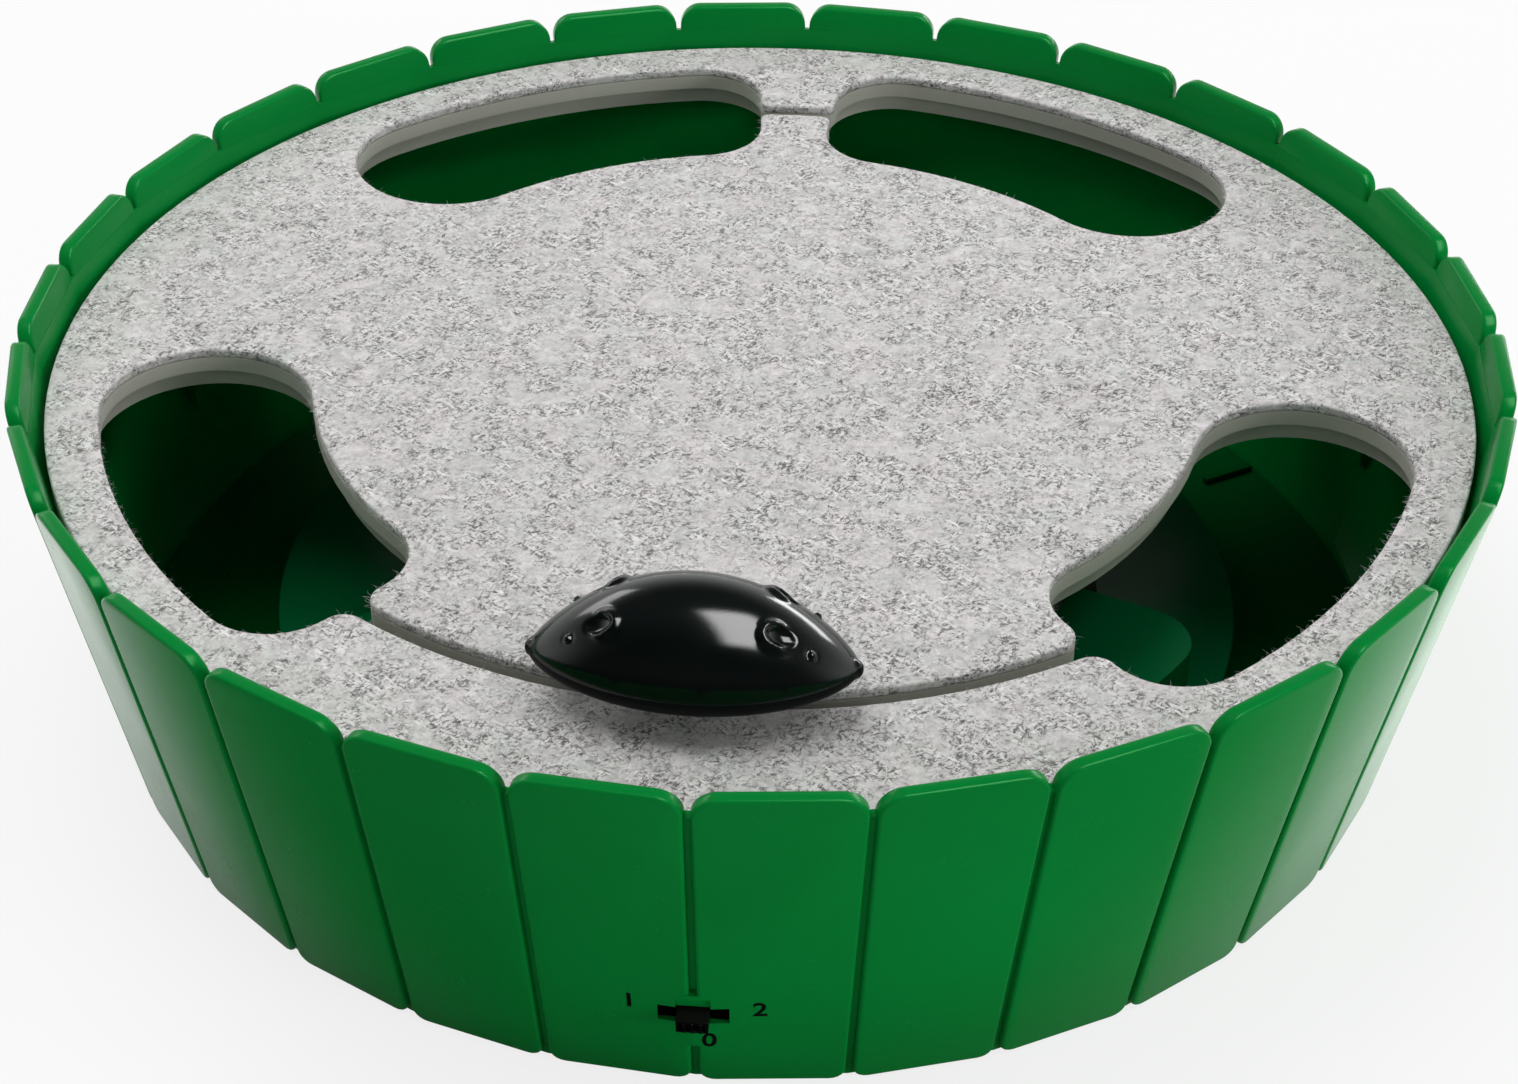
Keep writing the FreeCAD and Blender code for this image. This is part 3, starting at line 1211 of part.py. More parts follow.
def mouseLower(whole, hollow):
    socketX = "(postThick / 2 + socketPlay + socketWall) * 2"
    socketY = "(postWide / 2 + socketPlay + socketWall) * 2"
    inside = [box(socketX, socketY, "mouseSplit - 55", "trackCircle", "0", "55")]
    tools = [box("postThick + socketPlay * 2", "postWide + socketPlay * 2", "20", "trackCircle", "0", "55")]
    tools.append(cylinder("mousePinRadius + 0.02", "8", "trackCircle - 4", "0", "mousePinHeight",
                          (0, 1, 0), "90"))
    for x, y in mouseScrewPlaces:
        inside.append(cylinder("smallHeadRadius + 1", "mouseSplit - 55", x, y, "55"))
        tools.append(cylinder("smallScrewRadius + screwPlay", "20", x, y, "55"))
        tools.append(cylinder("smallHeadRadius + 0.1", f"{mouseHeadTop} - 55", x, y, "55"))
    return mouseShell(whole, hollow, "50", "mouseSplit", inside, tools)


def mouseUpper(whole, hollow):
    inside = []
    tools = []
    for x, y in mouseScrewPlaces:
        inside.append(cylinder("smallHeadRadius + 0.7", "12", x, y, "mouseSplit"))
        tools.append(cylinder("smallScrewRadius + screwPlay", "5.6", x, y, "mouseSplit - 1"))
    return mouseShell(whole, hollow, "mouseSplit", "90", inside, tools)


def mouseScrews():
    screws = [screw("small", "7.4", x, y, f"{mouseHeadTop} - smallHeadTall", down=False, sunk=False)
              for x, y in mouseScrewPlaces]
    return onCarousel(group(screws))


# Switch behind the wall
knobFlangeFront = "(switchFront + switchLid + (knobRoomDeep - knobFlangeThick) / 2)"


def switchKnob():
    stem = wallBox("knobLong", f"knobOut + {knobFlangeFront} + 0.2", "knobTall", "0", "-knobOut", "0")
    flange = wallBox("knobFlangeLong", "knobFlangeThick", "knobFlangeTall", "0", knobFlangeFront, "0")
    lowest = number(lineOut("0", "switchHeight")) - 1.2
    tip = rounded(stem, "0.5", lambda edge, middle: middle.y < lowest)
    return fuse(tip, flange)


def switchBody():
    body = wallBox("switchLong", "switchDeep", "switchTall", "0", "switchFront", "0")
    room = wallBox("knobRoomLong", "knobRoomDeep", "knobRoomTall", "0", "switchFront + switchLid", "0")
    window = wallBox("switchSlotLong + 0.1", "switchLid + 1", "switchSlotTall + 0.2", "0",
                     "switchFront - 0.5", "0")
    return cut(body, room, window)


def switchBoard():
    board = wallBox("boardLong", "boardThick", "boardTall", "0", boardFront, "0")
    holes = [wallRod("smallScrewRadius + screwPlay", "boardThick + 2", f"{side} * boardPostAlong",
                     f"{boardFront} - 1")
             for side in (-1, 1)]
    return cut(board, *holes)


boardBack = f"({boardFront} + boardThick)"


def boardScrews():
    screws = []
    for side in (-1, 1):
        across = f"{side} * boardPostAlong"
        shank = wallRod("smallScrewRadius", f"{boardBack} - 2.2", across, "2.2")
        head = wallRod("smallHeadRadius", "smallHeadTall", across, boardBack)
        markFoot = f"{boardBack} + smallHeadTall * 0.4"
        marks = [wallBox("smallHeadRadius * 1.1", "1", "crossWide", across, markFoot, "0"),
                 wallBox("crossWide", "1", "smallHeadRadius * 1.1", across, markFoot, "0")]
        screws.append(cut(fuse(shank, head), *marks))
    return group(screws)


def speedResistor():
    middle = f"{boardBack} + resistorRadius + 0.3"
    core = doc.addObject("Part::Cylinder", "resistor")
    bind(core, Radius="resistorRadius", Height="resistorLong")
    onWall(core, "-resistorLong / 2", middle, "4.6")
    core.Placement = core.Placement.multiply(
        FreeCAD.Placement(FreeCAD.Vector(), FreeCAD.Rotation(FreeCAD.Vector(0, 1, 0), 90)))
    legs = [wallBox("0.5", f"{middle} + 0.25 - {boardBack}", "0.5", f"{side} * (resistorLong / 2 - 0.25)",
                    boardBack, "4.6") for side in (-1, 1)]
    return fuse(core, *legs)


def wallPoint(across, inward, up):
    probe = doc.addObject("Part::Vertex", "probe")
    point = onWall(probe, across, inward, up).Placement.Base
    doc.removeObject(probe.Name)
    return point


def lead(points):
    # Round wire along straight runs joined by tangent arcs
    corners = [FreeCAD.Vector(*point) for point in points]
    edges = []
    start = corners[0]
    for index in range(1, len(corners) - 1):
        before = corners[index - 1] - corners[index]
        after = corners[index + 1] - corners[index]
        turning = math.pi - before.getAngle(after)
        reach = 0.45 * min(before.Length, after.Length)
        radius = reach / math.tan(turning / 2)
        entry = corners[index] + before * (reach / before.Length)
        leave = corners[index] + after * (reach / after.Length)
        bisector = ((entry + leave) * 0.5 - corners[index]).normalize()
        middle = corners[index] + bisector * (radius / math.cos(turning / 2) - radius)
        edges.append(Part.LineSegment(start, entry).toShape())
        edges.append(Part.Arc(entry, middle, leave).toShape())
        start = leave
    edges.append(Part.LineSegment(start, corners[-1]).toShape())
    path = Part.Wire(edges)
    section = Part.Wire(Part.makeCircle(number("leadRadius"), corners[0], corners[1] - corners[0]))
    tube = doc.addObject("Part::Feature", "lead")
    tube.Shape = path.makePipeShell([section], True, False)
    return tube


def boardEnd(across, up):
    # Last two points of a lead that meets the back of the board
    return [wallPoint(across, f"{boardBack} + 7.5", up), wallPoint(across, f"{boardBack} + 0.02", up)]


def batteryLead(row, shift):
    # From the bay wall, round the gear case and through the gate in the track
    low = number(floorTop) + number("leadRadius") + 0.15
    y = number(cellRows[row])
    wall = number("-bayLong / 2") - 0.02
    side = number(caseLeft)
    front = number(caseFront)
    inner = number("waveIn")
    gate = -1.4 - shift * 2.8
    return lead([
        (wall, y, number(cellHeight)),
        (wall - 7 - shift * 2, y, number(cellHeight)),
        (side - 17.5 - shift * 3, y - 11.5, low),
        (side - 16.5 - shift * 3, -2 + shift * 2, low),
        (side - 10 - shift * 3, -28, low),
        (side - 5 - shift * 3, front + 1 - shift * 2.3, low),
        (gate - 1 - shift * 0.2, front - 4.2 - shift * 3, low),
        (gate, -inner - 8, low),
        (gate - 0.3, -inner - 24, low + 0.2),
    ] + boardEnd(f"{gate} - 3.5", "-4.6"))


def motorLead(side):
    low = number(floorTop) + number("leadRadius") + 0.15
    x = number(motorAt[0]) + side * 2.2
    gate = 2.8 + side * 1.4
    tab = number("motorFoot + 0.7 + leadRadius")
    inner = number("waveIn")
    start = number(motorAt[1]) - number("motorRadius") - 0.7
    return lead([
        (x, start, tab),
        (x, start - 5, tab),
        (gate, start - 12, low),
        (gate, -inner - 10, low),
        (gate + 0.3, -inner - 24, low + 0.2),
    ] + boardEnd(f"{gate} + 3.5", "-4.6"))


def buildAll():
    voids = lidVoids()
    whole = mouseWhole()
    hollow = mouseLoft(number("mouseWall"))
    return {
        "fence_ring": fenceRing(),
        "base_plate": basePlate(),
        "lid_plate": lidPlate(voids),
        "felt_mat": feltMat(voids),
        "cam_track": waveTrack(),
        "mouse_upper": mouseUpper(whole, hollow),
        "mouse_lower": mouseLower(whole, hollow),
        "mouse_screws": mouseScrews(),
        "mouse_post": mousePost(),
        "mouse_pin": mousePin(),
        "post_screws": postScrews(),
        "swing_arm": swingArm(),
        "hinge_pin": hingePin(),
        "track_roller": trackRoller(),
        "roller_axle": rollerAxle(),
        "carousel_hub": carouselHub(),
        "hub_screw": hubScrew(),
        "output_shaft": outputShaft(),
        "output_bushes": outputBushes(),
        "output_gear": outputGear(),
        "second_gear": secondGear(),
        "second_axle": gearAxle(secondAt),
        "first_gear": firstGear(),
        "first_axle": gearAxle(firstAt),
        "motor_pinion": motorPinion(),
        "motor_shaft": motorShaft(),
        "motor_can": motorCan(),
        "motor_end_cap": motorEndCap(),
        "motor_screws": motorScrews(),
        "gear_case": gearCase(),
        "gear_cover": gearCover(),
        "case_screws": caseScrews(),
        "cover_screws": coverScrews(),
        "track_screws": trackScrews(),
        "lid_screws": lidScrews(),
        "base_screws": baseScrews(),
        "battery_cell_front": batteryCell(0, 1),
        "battery_cell_back": batteryCell(1, -1),
        "battery_contacts": batteryContacts(),
        "bridge_contact": bridgeContact(),
        "battery_springs": batterySprings(),
        "battery_door": batteryDoor(),
        "switch_knob": switchKnob(),
        "switch_body": switchBody(),
        "switch_board": switchBoard(),
        "board_screws": boardScrews(),
        "speed_resistor": speedResistor(),
        "battery_lead_black": batteryLead(0, 0),
        "battery_lead_red": batteryLead(1, 1),
        "motor_lead_black": motorLead(-1),
        "motor_lead_red": motorLead(1),
    }


def checked(pieces):
    # Stops before anything is written when a step failed
    doc.recompute()
    for item in doc.Objects:
        if "Invalid" in item.State or "Error" in item.State:
            raise RuntimeError(f"{item.Name} {item.TypeId} {item.State}")
    for name, item in pieces.items():
        item.Label = name
        shape = item.Shape
        if shape.isNull() or not shape.isValid() or not shape.Solids:
            raise RuntimeError(f"{name} has no valid solid")
        print(name, len(shape.Solids), round(shape.Volume, 1))
    return pieces


pieces = checked(buildAll())
os.makedirs("parts", exist_ok=True)
for name, item in pieces.items():
    item.Shape.exportStep(f"parts/{name}.step")
print("pieces", len(pieces))
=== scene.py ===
import math
import random

import bpy
from mathutils import Matrix, Vector


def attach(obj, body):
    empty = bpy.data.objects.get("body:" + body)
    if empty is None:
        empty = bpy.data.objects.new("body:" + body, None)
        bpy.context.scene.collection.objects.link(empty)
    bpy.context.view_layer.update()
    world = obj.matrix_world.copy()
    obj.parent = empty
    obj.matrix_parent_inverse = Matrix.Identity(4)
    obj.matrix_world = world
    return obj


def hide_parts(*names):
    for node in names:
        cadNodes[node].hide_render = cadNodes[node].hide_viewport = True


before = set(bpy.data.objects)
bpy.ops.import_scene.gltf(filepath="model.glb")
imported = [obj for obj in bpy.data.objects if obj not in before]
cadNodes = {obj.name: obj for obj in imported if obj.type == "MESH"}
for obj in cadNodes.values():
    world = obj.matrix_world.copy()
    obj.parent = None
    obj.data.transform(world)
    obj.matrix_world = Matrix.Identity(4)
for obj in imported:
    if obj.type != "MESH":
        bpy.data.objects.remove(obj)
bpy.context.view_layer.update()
print("cad model loaded:", len(cadNodes), "nodes")

mm = 0.001


# picking, editing and joining
def closeMesh():
    if bpy.context.object and bpy.context.object.mode == "EDIT":
        bpy.ops.object.mode_set(mode="OBJECT")


def pickNone():
    bpy.ops.object.select_all(action="DESELECT")


def pickOnly(*pieces):
    pickNone()
    for piece in pieces:
        piece.select_set(True)
    bpy.context.view_layer.objects.active = pieces[0]


def added(name):
    piece = bpy.context.active_object
    piece.name = name
    piece.data.name = name
    return piece


def openMesh(piece, kind="VERT"):
    closeMesh()
    pickOnly(piece)
    bpy.ops.object.mode_set(mode="EDIT")
    bpy.ops.mesh.select_mode(type=kind)


def pickAll(piece):
    openMesh(piece)
    bpy.ops.mesh.select_all(action="SELECT")


def pickVerts(piece, test):
    openMesh(piece, "VERT")
    bpy.ops.mesh.select_all(action="DESELECT")
    closeMesh()
    for vert in piece.data.vertices:
        vert.select = bool(test(vert.co))
    openMesh(piece, "VERT")


def pickEdges(piece, test):
    openMesh(piece, "EDGE")
    bpy.ops.mesh.select_all(action="DESELECT")
    closeMesh()
    points = piece.data.vertices
    for edge in piece.data.edges:
        edge.select = bool(test(points[edge.vertices[0]].co, points[edge.vertices[1]].co))
    openMesh(piece, "EDGE")


def pickFaces(piece, test):
    openMesh(piece, "FACE")
    bpy.ops.mesh.select_all(action="DESELECT")
    closeMesh()
    for face in piece.data.polygons:
        face.select = bool(test(face.center, face.normal))
    openMesh(piece, "FACE")


def allOutward(piece):
    pickAll(piece)
    bpy.ops.mesh.remove_doubles(threshold=0.000002)
    bpy.ops.mesh.normals_make_consistent(inside=False)
    closeMesh()


def settle(piece):
    # place goes into the mesh, the object stays at the origin
    pickOnly(piece)
    bpy.ops.object.transform_apply(location=True, rotation=True, scale=True)
    return piece


def finishModifier(piece, kind, **settings):
    modifier = piece.modifiers.new(kind.lower(), kind)
    for key, value in settings.items():
        setattr(modifier, key, value)
    pickOnly(piece)
    bpy.ops.object.modifier_apply(modifier=modifier.name)


def joined(name, pieces):
    pickOnly(*pieces)
    bpy.ops.object.join()
    return added(name)


def doubled(piece):
    # copy with its own mesh
    copy = piece.copy()
    copy.data = piece.data.copy()
    bpy.context.collection.objects.link(copy)
    return copy


def makeBlock(name, size, centre=(0, 0, 0)):
    pickNone()
    bpy.ops.mesh.primitive_cube_add(size=1, location=(0, 0, 0))
    block = added(name)
    block.scale = size
    block.location = centre
    return settle(block)


def makeRod(name, radius, depth, centre, sides=32, turn=(0, 0, 0)):
    pickNone()
    bpy.ops.mesh.primitive_cylinder_add(vertices=sides, radius=radius, depth=depth, location=centre,
                                        rotation=turn)
    return settle(added(name))


def pushFaces(shift):
    bpy.ops.mesh.extrude_region_move(TRANSFORM_OT_translate={"value": shift})


def softShade(piece, angle=35):
    pickOnly(piece)
    bpy.ops.object.shade_smooth_by_angle(angle=math.radians(angle))


def cutAway(piece, cutter, **settings):
    finishModifier(piece, "BOOLEAN", operation="DIFFERENCE", solver="EXACT", object=cutter, **settings)
    bpy.data.objects.remove(cutter)


# materials: every finish is a small node tree on object coordinates
def newFinish(name):
    finish = bpy.data.materials.new(name)
    finish.use_nodes = True
    tree = finish.node_tree
    return finish, tree, tree.nodes["Principled BSDF"]


def addNode(tree, kind, **settings):
    node = tree.nodes.new(kind)
    for key, value in settings.items():
        if key in node.inputs:
            node.inputs[key].default_value = value
        else:
            setattr(node, key, value)
    return node


def feed(tree, socket, value):
    # a socket takes either a linked source or a plain value
    if isinstance(value, bpy.types.NodeSocket):
        tree.links.new(value, socket)
    else:
        socket.default_value = value


def objectSpace(tree, stretch=(1, 1, 1), turn=0.0, kind="POINT"):
    place = addNode(tree, "ShaderNodeTexCoord")
    mapping = addNode(tree, "ShaderNodeMapping", vector_type=kind)
    mapping.inputs["Scale"].default_value = stretch
    mapping.inputs["Rotation"].default_value = (0, 0, turn)
    tree.links.new(place.outputs["Object"], mapping.inputs["Vector"])
    return mapping.outputs["Vector"]


def noise(tree, space, scale, detail=3.0, rough=0.5, twist=0.0):
    node = addNode(tree, "ShaderNodeTexNoise", Scale=scale, Detail=detail, Roughness=rough, Distortion=twist)
    tree.links.new(space, node.inputs["Vector"])
    return node.outputs["Fac"]


def ramp(tree, source, stops):
    node = addNode(tree, "ShaderNodeValToRGB")
    bar = node.color_ramp
    while len(bar.elements) < len(stops):
        bar.elements.new(0.5)
    for element, (at, colour) in zip(bar.elements, stops):
        element.position = at
        element.color = (*colour, 1)
    tree.links.new(source, node.inputs["Fac"])
    return node.outputs["Color"]


def spread(tree, source, low, high):
    node = addNode(tree, "ShaderNodeMapRange")
    node.inputs["To Min"].default_value = low
    node.inputs["To Max"].default_value = high
    tree.links.new(source, node.inputs["Value"])
    return node.outputs["Result"]


def blendColours(tree, share, first, second, mode="MIX"):
    node = addNode(tree, "ShaderNodeMix", data_type="RGBA", blend_type=mode)
    for socket, value in ((0, share), (6, first), (7, second)):
        feed(tree, node.inputs[socket], (*value, 1) if isinstance(value, tuple) else value)
    return node.outputs[2]


def smoothRange(tree, source, start, end, low, high):
    node = addNode(tree, "ShaderNodeMapRange", interpolation_type="SMOOTHSTEP")
    for socket, value in zip(("From Min", "From Max", "To Min", "To Max"), (start, end, low, high)):
        node.inputs[socket].default_value = value
    tree.links.new(source, node.inputs["Value"])
    return node.outputs["Result"]


def reckon(tree, operation, *values):
    node = addNode(tree, "ShaderNodeMath", operation=operation)
    for socket, value in zip(node.inputs, values):
        feed(tree, socket, value)
    return node.outputs[0]


def partsOf(tree, space):
    node = addNode(tree, "ShaderNodeSeparateXYZ")
    tree.links.new(space, node.inputs[0])
    return node.outputs


def mixShaders(tree, share, first, second):
    node = addNode(tree, "ShaderNodeMixShader")
    for socket, value in zip(node.inputs, (share, first, second)):
        tree.links.new(value, socket)
    return node.outputs[0]


def rayKinds(tree):
    # 1 for what the camera sees straight or through glass, and 1 for what is mirrored
    rays = addNode(tree, "ShaderNodeLightPath")
    seen = reckon(tree, "MAXIMUM", rays.outputs["Is Camera Ray"], rays.outputs["Is Transmission Ray"])
    return seen, rays.outputs["Is Glossy Ray"]


def raised(tree, shader, height, strength, depth):
    bump = addNode(tree, "ShaderNodeBump", Strength=strength, Distance=depth)
    tree.links.new(height, bump.inputs["Height"])
    tree.links.new(bump.outputs["Normal"], shader.inputs["Normal"])


def moulded(name, deep, pale, rough=(0.28, 0.38), coat=0.0, bumpDepth=0.00004, cloud=18, grain=2600,
            gloss=0.5):
    # moulded plastic: slow colour drift, uneven gloss and a very fine skin
    finish, tree, shader = newFinish(name)
    space = objectSpace(tree)
    drift = noise(tree, space, cloud, 3, 0.5, 0.3)
    tree.links.new(ramp(tree, drift, [(0.3, deep), (0.7, pale)]), shader.inputs["Base Color"])
    tree.links.new(spread(tree, noise(tree, space, cloud * 6, 4, 0.6), *rough), shader.inputs["Roughness"])
    raised(tree, shader, noise(tree, space, grain, 2, 0.5), 0.25, bumpDepth)
    shader.inputs["Coat Weight"].default_value = coat
    shader.inputs["Coat Roughness"].default_value = 0.06
    shader.inputs["Specular IOR Level"].default_value = gloss
    return finish


def metal(name, deep, pale, rough=(0.22, 0.4), lines=(1, 1, 1), scale=900):
    # metal with fine drawn or rolled lines
    finish, tree, shader = newFinish(name)
    space = objectSpace(tree, lines)
    streak = noise(tree, space, scale, 4, 0.6)
    tree.links.new(ramp(tree, streak, [(0.3, deep), (0.75, pale)]), shader.inputs["Base Color"])
    tree.links.new(spread(tree, streak, *rough), shader.inputs["Roughness"])
    raised(tree, shader, streak, 0.15, 0.00003)
    shader.inputs["Metallic"].default_value = 1.0
    return finish


def feltFinish():
    # heather grey: pale wool, faintly warm and cool in places, with patches of short dark and pale fibres
    finish, tree, shader = newFinish("heatherFelt")
    flat = objectSpace(tree)
    tint = ramp(tree, noise(tree, flat, 150, 3, 0.6, 0.5),
                [(0.34, (0.635, 0.645, 0.625)), (0.50, (0.660, 0.642, 0.632)),
                 (0.66, (0.680, 0.642, 0.650))])
    cloud = ramp(tree, noise(tree, flat, 420, 6, 0.72, 0.6),
                 [(0.28, (0.66, 0.66, 0.66)), (0.66, (1.16, 1.16, 1.16))])
    layers = blendColours(tree, 1.0, tint, cloud, "MULTIPLY")
    patches = ramp(tree, noise(tree, flat, 190, 3, 0.62, 0.6),
                   [(0.38, (0.12, 0.12, 0.12)), (0.58, (1, 1, 1))])
    # each kind: direction, stretch along it, scale, where it starts and is full, colour
    fibres = (
        (0.35, 2.4, 1900, 0.53, 0.63, (0.09, 0.085, 0.08)),
        (1.35, 2.4, 2100, 0.53, 0.63, (0.11, 0.105, 0.10)),
        (2.40, 2.6, 1800, 0.54, 0.64, (0.13, 0.125, 0.12)),
        (-0.65, 3.2, 1500, 0.56, 0.66, (0.82, 0.80, 0.80)),
        (0.90, 3.2, 1700, 0.56, 0.66, (0.80, 0.79, 0.78)),
    )
    for turn, long, scale, low, high, colour in fibres:
        strand = noise(tree, objectSpace(tree, (long, 1, 1), turn, "TEXTURE"), scale, 3, 0.6, 0.4)
        edge = ramp(tree, strand, [(low, (0, 0, 0)), (high, (1, 1, 1))])
        share = blendColours(tree, 1.0, edge, patches, "MULTIPLY")
        grey = addNode(tree, "ShaderNodeRGBToBW")
        tree.links.new(share, grey.inputs["Color"])
        layers = blendColours(tree, grey.outputs["Val"], layers, colour)
    tree.links.new(layers, shader.inputs["Base Color"])
    fuzz = noise(tree, flat, 2600, 4, 0.7, 0.6)
    raised(tree, shader, fuzz, 0.5, 0.0002)
    shader.inputs["Roughness"].default_value = 0.96
    shader.inputs["Specular IOR Level"].default_value = 0.15
    shader.inputs["Sheen Weight"].default_value = 0.25
    shader.inputs["Sheen Roughness"].default_value = 0.6
    return finish


finishes = {
    "green": moulded("greenMoulded", (0.0003, 0.186, 0.028), (0.0004, 0.212, 0.034), (0.22, 0.30),
                     gloss=0.10),
    # tub floor: the wall's green painted much darker, as painted shade for the shadow inside the tub
    "tubFloorPaintedShade": moulded("greenFloorPaintedShade", (0.0004, 0.060, 0.010), (0.0006, 0.075, 0.013), (0.16, 0.26),
                        gloss=0.3),
    # cam track: the wall's green painted darker, as painted shade for the shadow inside the tub
    "track": moulded("greenTrackPaintedShade", (0.0006, 0.092, 0.026), (0.0009, 0.110, 0.033), (0.16, 0.26), gloss=0.3),
    "lid": moulded("greyLid", (0.46, 0.46, 0.40), (0.52, 0.52, 0.46), (0.42, 0.55)),
    "felt": feltFinish(),
    "mouse": moulded("glossCharcoal", (0.0022, 0.0036, 0.0034), (0.0034, 0.0052, 0.0048), (0.10, 0.18),
                     bumpDepth=0.00001, cloud=40, grain=1400, gloss=0.42),
    # mouse belly: the mouse's charcoal a touch darker and almost without reflection, as painted shade under
    # the mouse
    "mouseBelly": moulded("charcoalBellyPaintedShade", (0.0018, 0.0030, 0.0028), (0.0028, 0.0042, 0.0038), (0.3, 0.4),
                          bumpDepth=0.00001, cloud=40, grain=1400, gloss=0.06),
    "black": moulded("blackMoulded", (0.006, 0.006, 0.006), (0.011, 0.011, 0.011), (0.38, 0.5)),
    "nylon": moulded("nylonWhite", (0.68, 0.67, 0.62), (0.78, 0.77, 0.73), (0.35, 0.5)),
    "case": moulded("caseGrey", (0.30, 0.31, 0.32), (0.36, 0.37, 0.38), (0.4, 0.55)),
    "wrap": moulded("cellWrap", (0.03, 0.05, 0.16), (0.05, 0.08, 0.22), (0.2, 0.32)),
    "board": moulded("boardGreen", (0.006, 0.09, 0.03), (0.01, 0.12, 0.045), (0.28, 0.4), 0.2),
    "resistor": moulded("resistorTan", (0.42, 0.30, 0.16), (0.52, 0.38, 0.22), (0.3, 0.45)),
    "leadRed": moulded("leadRed", (0.42, 0.012, 0.010), (0.55, 0.02, 0.015), (0.35, 0.5)),
    "leadBlack": moulded("leadBlack", (0.010, 0.010, 0.010), (0.02, 0.02, 0.02), (0.35, 0.5)),
    "knob": moulded("knobBlack", (0.0015, 0.0015, 0.0015), (0.003, 0.003, 0.003), (0.4, 0.5), gloss=0.15),
    "ink": moulded("blackInk", (0.002, 0.003, 0.002), (0.005, 0.007, 0.005), (0.45, 0.6), gloss=0.1),
    "steel": metal("zincSteel", (0.46, 0.45, 0.43), (0.68, 0.67, 0.65)),
    "can": metal("motorSteel", (0.42, 0.42, 0.42), (0.60, 0.60, 0.60), (0.25, 0.42), (1, 1, 0.05)),
    "bronze": metal("sinteredBronze", (0.40, 0.24, 0.10), (0.58, 0.38, 0.18), (0.35, 0.5), (1, 1, 1), 2200),
    "contact": metal("contactPlate", (0.62, 0.60, 0.55), (0.78, 0.76, 0.72), (0.2, 0.35)),
}

nodeFinish = {
    "base_plate": "tubFloorPaintedShade", "cam_track": "track", "fence_ring": "green", "battery_door": "green",
    "lid_plate": "lid", "felt_mat": "felt", "mouse_lower": "mouse", "mouse_upper": "mouse",
    "switch_knob": "knob", "switch_body": "knob", "motor_end_cap": "black", "mouse_post": "black",
    "track_roller": "nylon", "first_gear": "nylon", "second_gear": "nylon", "output_gear": "nylon",
    "motor_pinion": "bronze", "output_bushes": "bronze", "gear_case": "case", "gear_cover": "case",
    "carousel_hub": "black", "swing_arm": "black", "battery_cell_front": "wrap", "battery_cell_back": "wrap",
    "switch_board": "board", "speed_resistor": "resistor", "motor_can": "can",
    "battery_lead_red": "leadRed", "motor_lead_red": "leadRed",
    "battery_lead_black": "leadBlack", "motor_lead_black": "leadBlack",
    "battery_contacts": "contact", "bridge_contact": "contact", "battery_springs": "contact",
}


def dress(piece, finish):
    piece.data.materials.clear()
    piece.data.materials.append(finishes[finish])


for name, node in cadNodes.items():
    dress(node, nodeFinish.get(name, "steel"))
print("materials on", len(cadNodes), "nodes")

# fence wall: thirty leaning slats on a thin inner wall, with the foot flange and the lid posts
fence = {
    "slats": 30, "footOut": 110.3 * mm, "topOut": 124.0 * mm, "tall": 65.65 * mm, "wall": 2.6 * mm,
    "groove": 1.25 * mm, "grooveDeep": 1.2 * mm, "notchDeep": 4.65 * mm, "topCorner": 4.0 * mm,
    "footCorner": 2.4 * mm, "edgeRound": 0.55 * mm, "innerFoot": 0.2 * mm, "overlap": 0.02 * mm,
    "flangeThick": 2.2 * mm, "flangeBore": 99.0 * mm, "flangeSetBack": 1.5 * mm, "flangeRound": 0.3 * mm,
    "postCount": 5, "postAngle": 18, "postOut": 113.2 * mm, "postRadius": 3.2 * mm, "postFoot": 44.0 * mm,
    "postTop": 54.0 * mm, "postRim": 1.8 * mm, "postHoleDeep": 8 * mm, "postSides": 28,
    "gussetFoot": 22.0 * mm, "gussetThick": 2.0 * mm, "gussetWide": 3.0 * mm, "gussetDrop": 0.2 * mm,
    "gussetNarrow": 1.2 * mm, "gussetReach": 5.5 * mm,
    "footScrews": 5, "footScrewOut": 103.6 * mm, "footScrewAngle": 69, "footScrewSink": 2.48 * mm,
    "footScrewDeep": 1.5 * mm, "footHole": 1.38 * mm, "footHoleDeep": 8 * mm,
    "switchTall": 16.8 * mm, "outside": -6 * mm,
    "slotLong": 10.7 * mm, "slotTall": 3.6 * mm, "slotIn": 4 * mm,
    "gateLong": 5.2 * mm, "gateTall": 5.8 * mm, "gateSkin": 1.9 * mm,
    "nestLong": 14.8 * mm, "nestTall": 7.2 * mm, "nestSkin": 1.4 * mm, "nestIn": 6.6 * mm,
    "fillLow": 9.0 * mm, "fillHigh": 21.3 * mm, "fillWide": 2.6 * mm, "fillDeep": 1.5 * mm,
    "fillProud": 0.012 * mm,
    "boardPostAlong": 12.6 * mm, "boardPostRadius": 2.2 * mm, "boardPostDeep": 3.7 * mm,
    "boardPostHole": 0.98 * mm, "boardPostHoleDeep": 2.1 * mm,
}
touching = 0.01 * mm
facet = 2 * math.pi / fence["slats"]
leanRun = fence["topOut"] - fence["footOut"]
lean = math.atan2(leanRun, fence["tall"])
slant = math.hypot(leanRun, fence["tall"])


def outerFace(height):
    # distance of a slat's flat face from the axis
    return fence["footOut"] + leanRun * height / fence["tall"]


def wallFrame():
    # frame on the wall's inner corner line at the switch: y into the toy, z up along the lean
    corner = (outerFace(fence["switchTall"]) - fence["wall"]) / math.cos(facet / 2)
    return Matrix.Translation((0, -corner, fence["switchTall"])) @ Matrix.Rotation(lean, 4, "X")


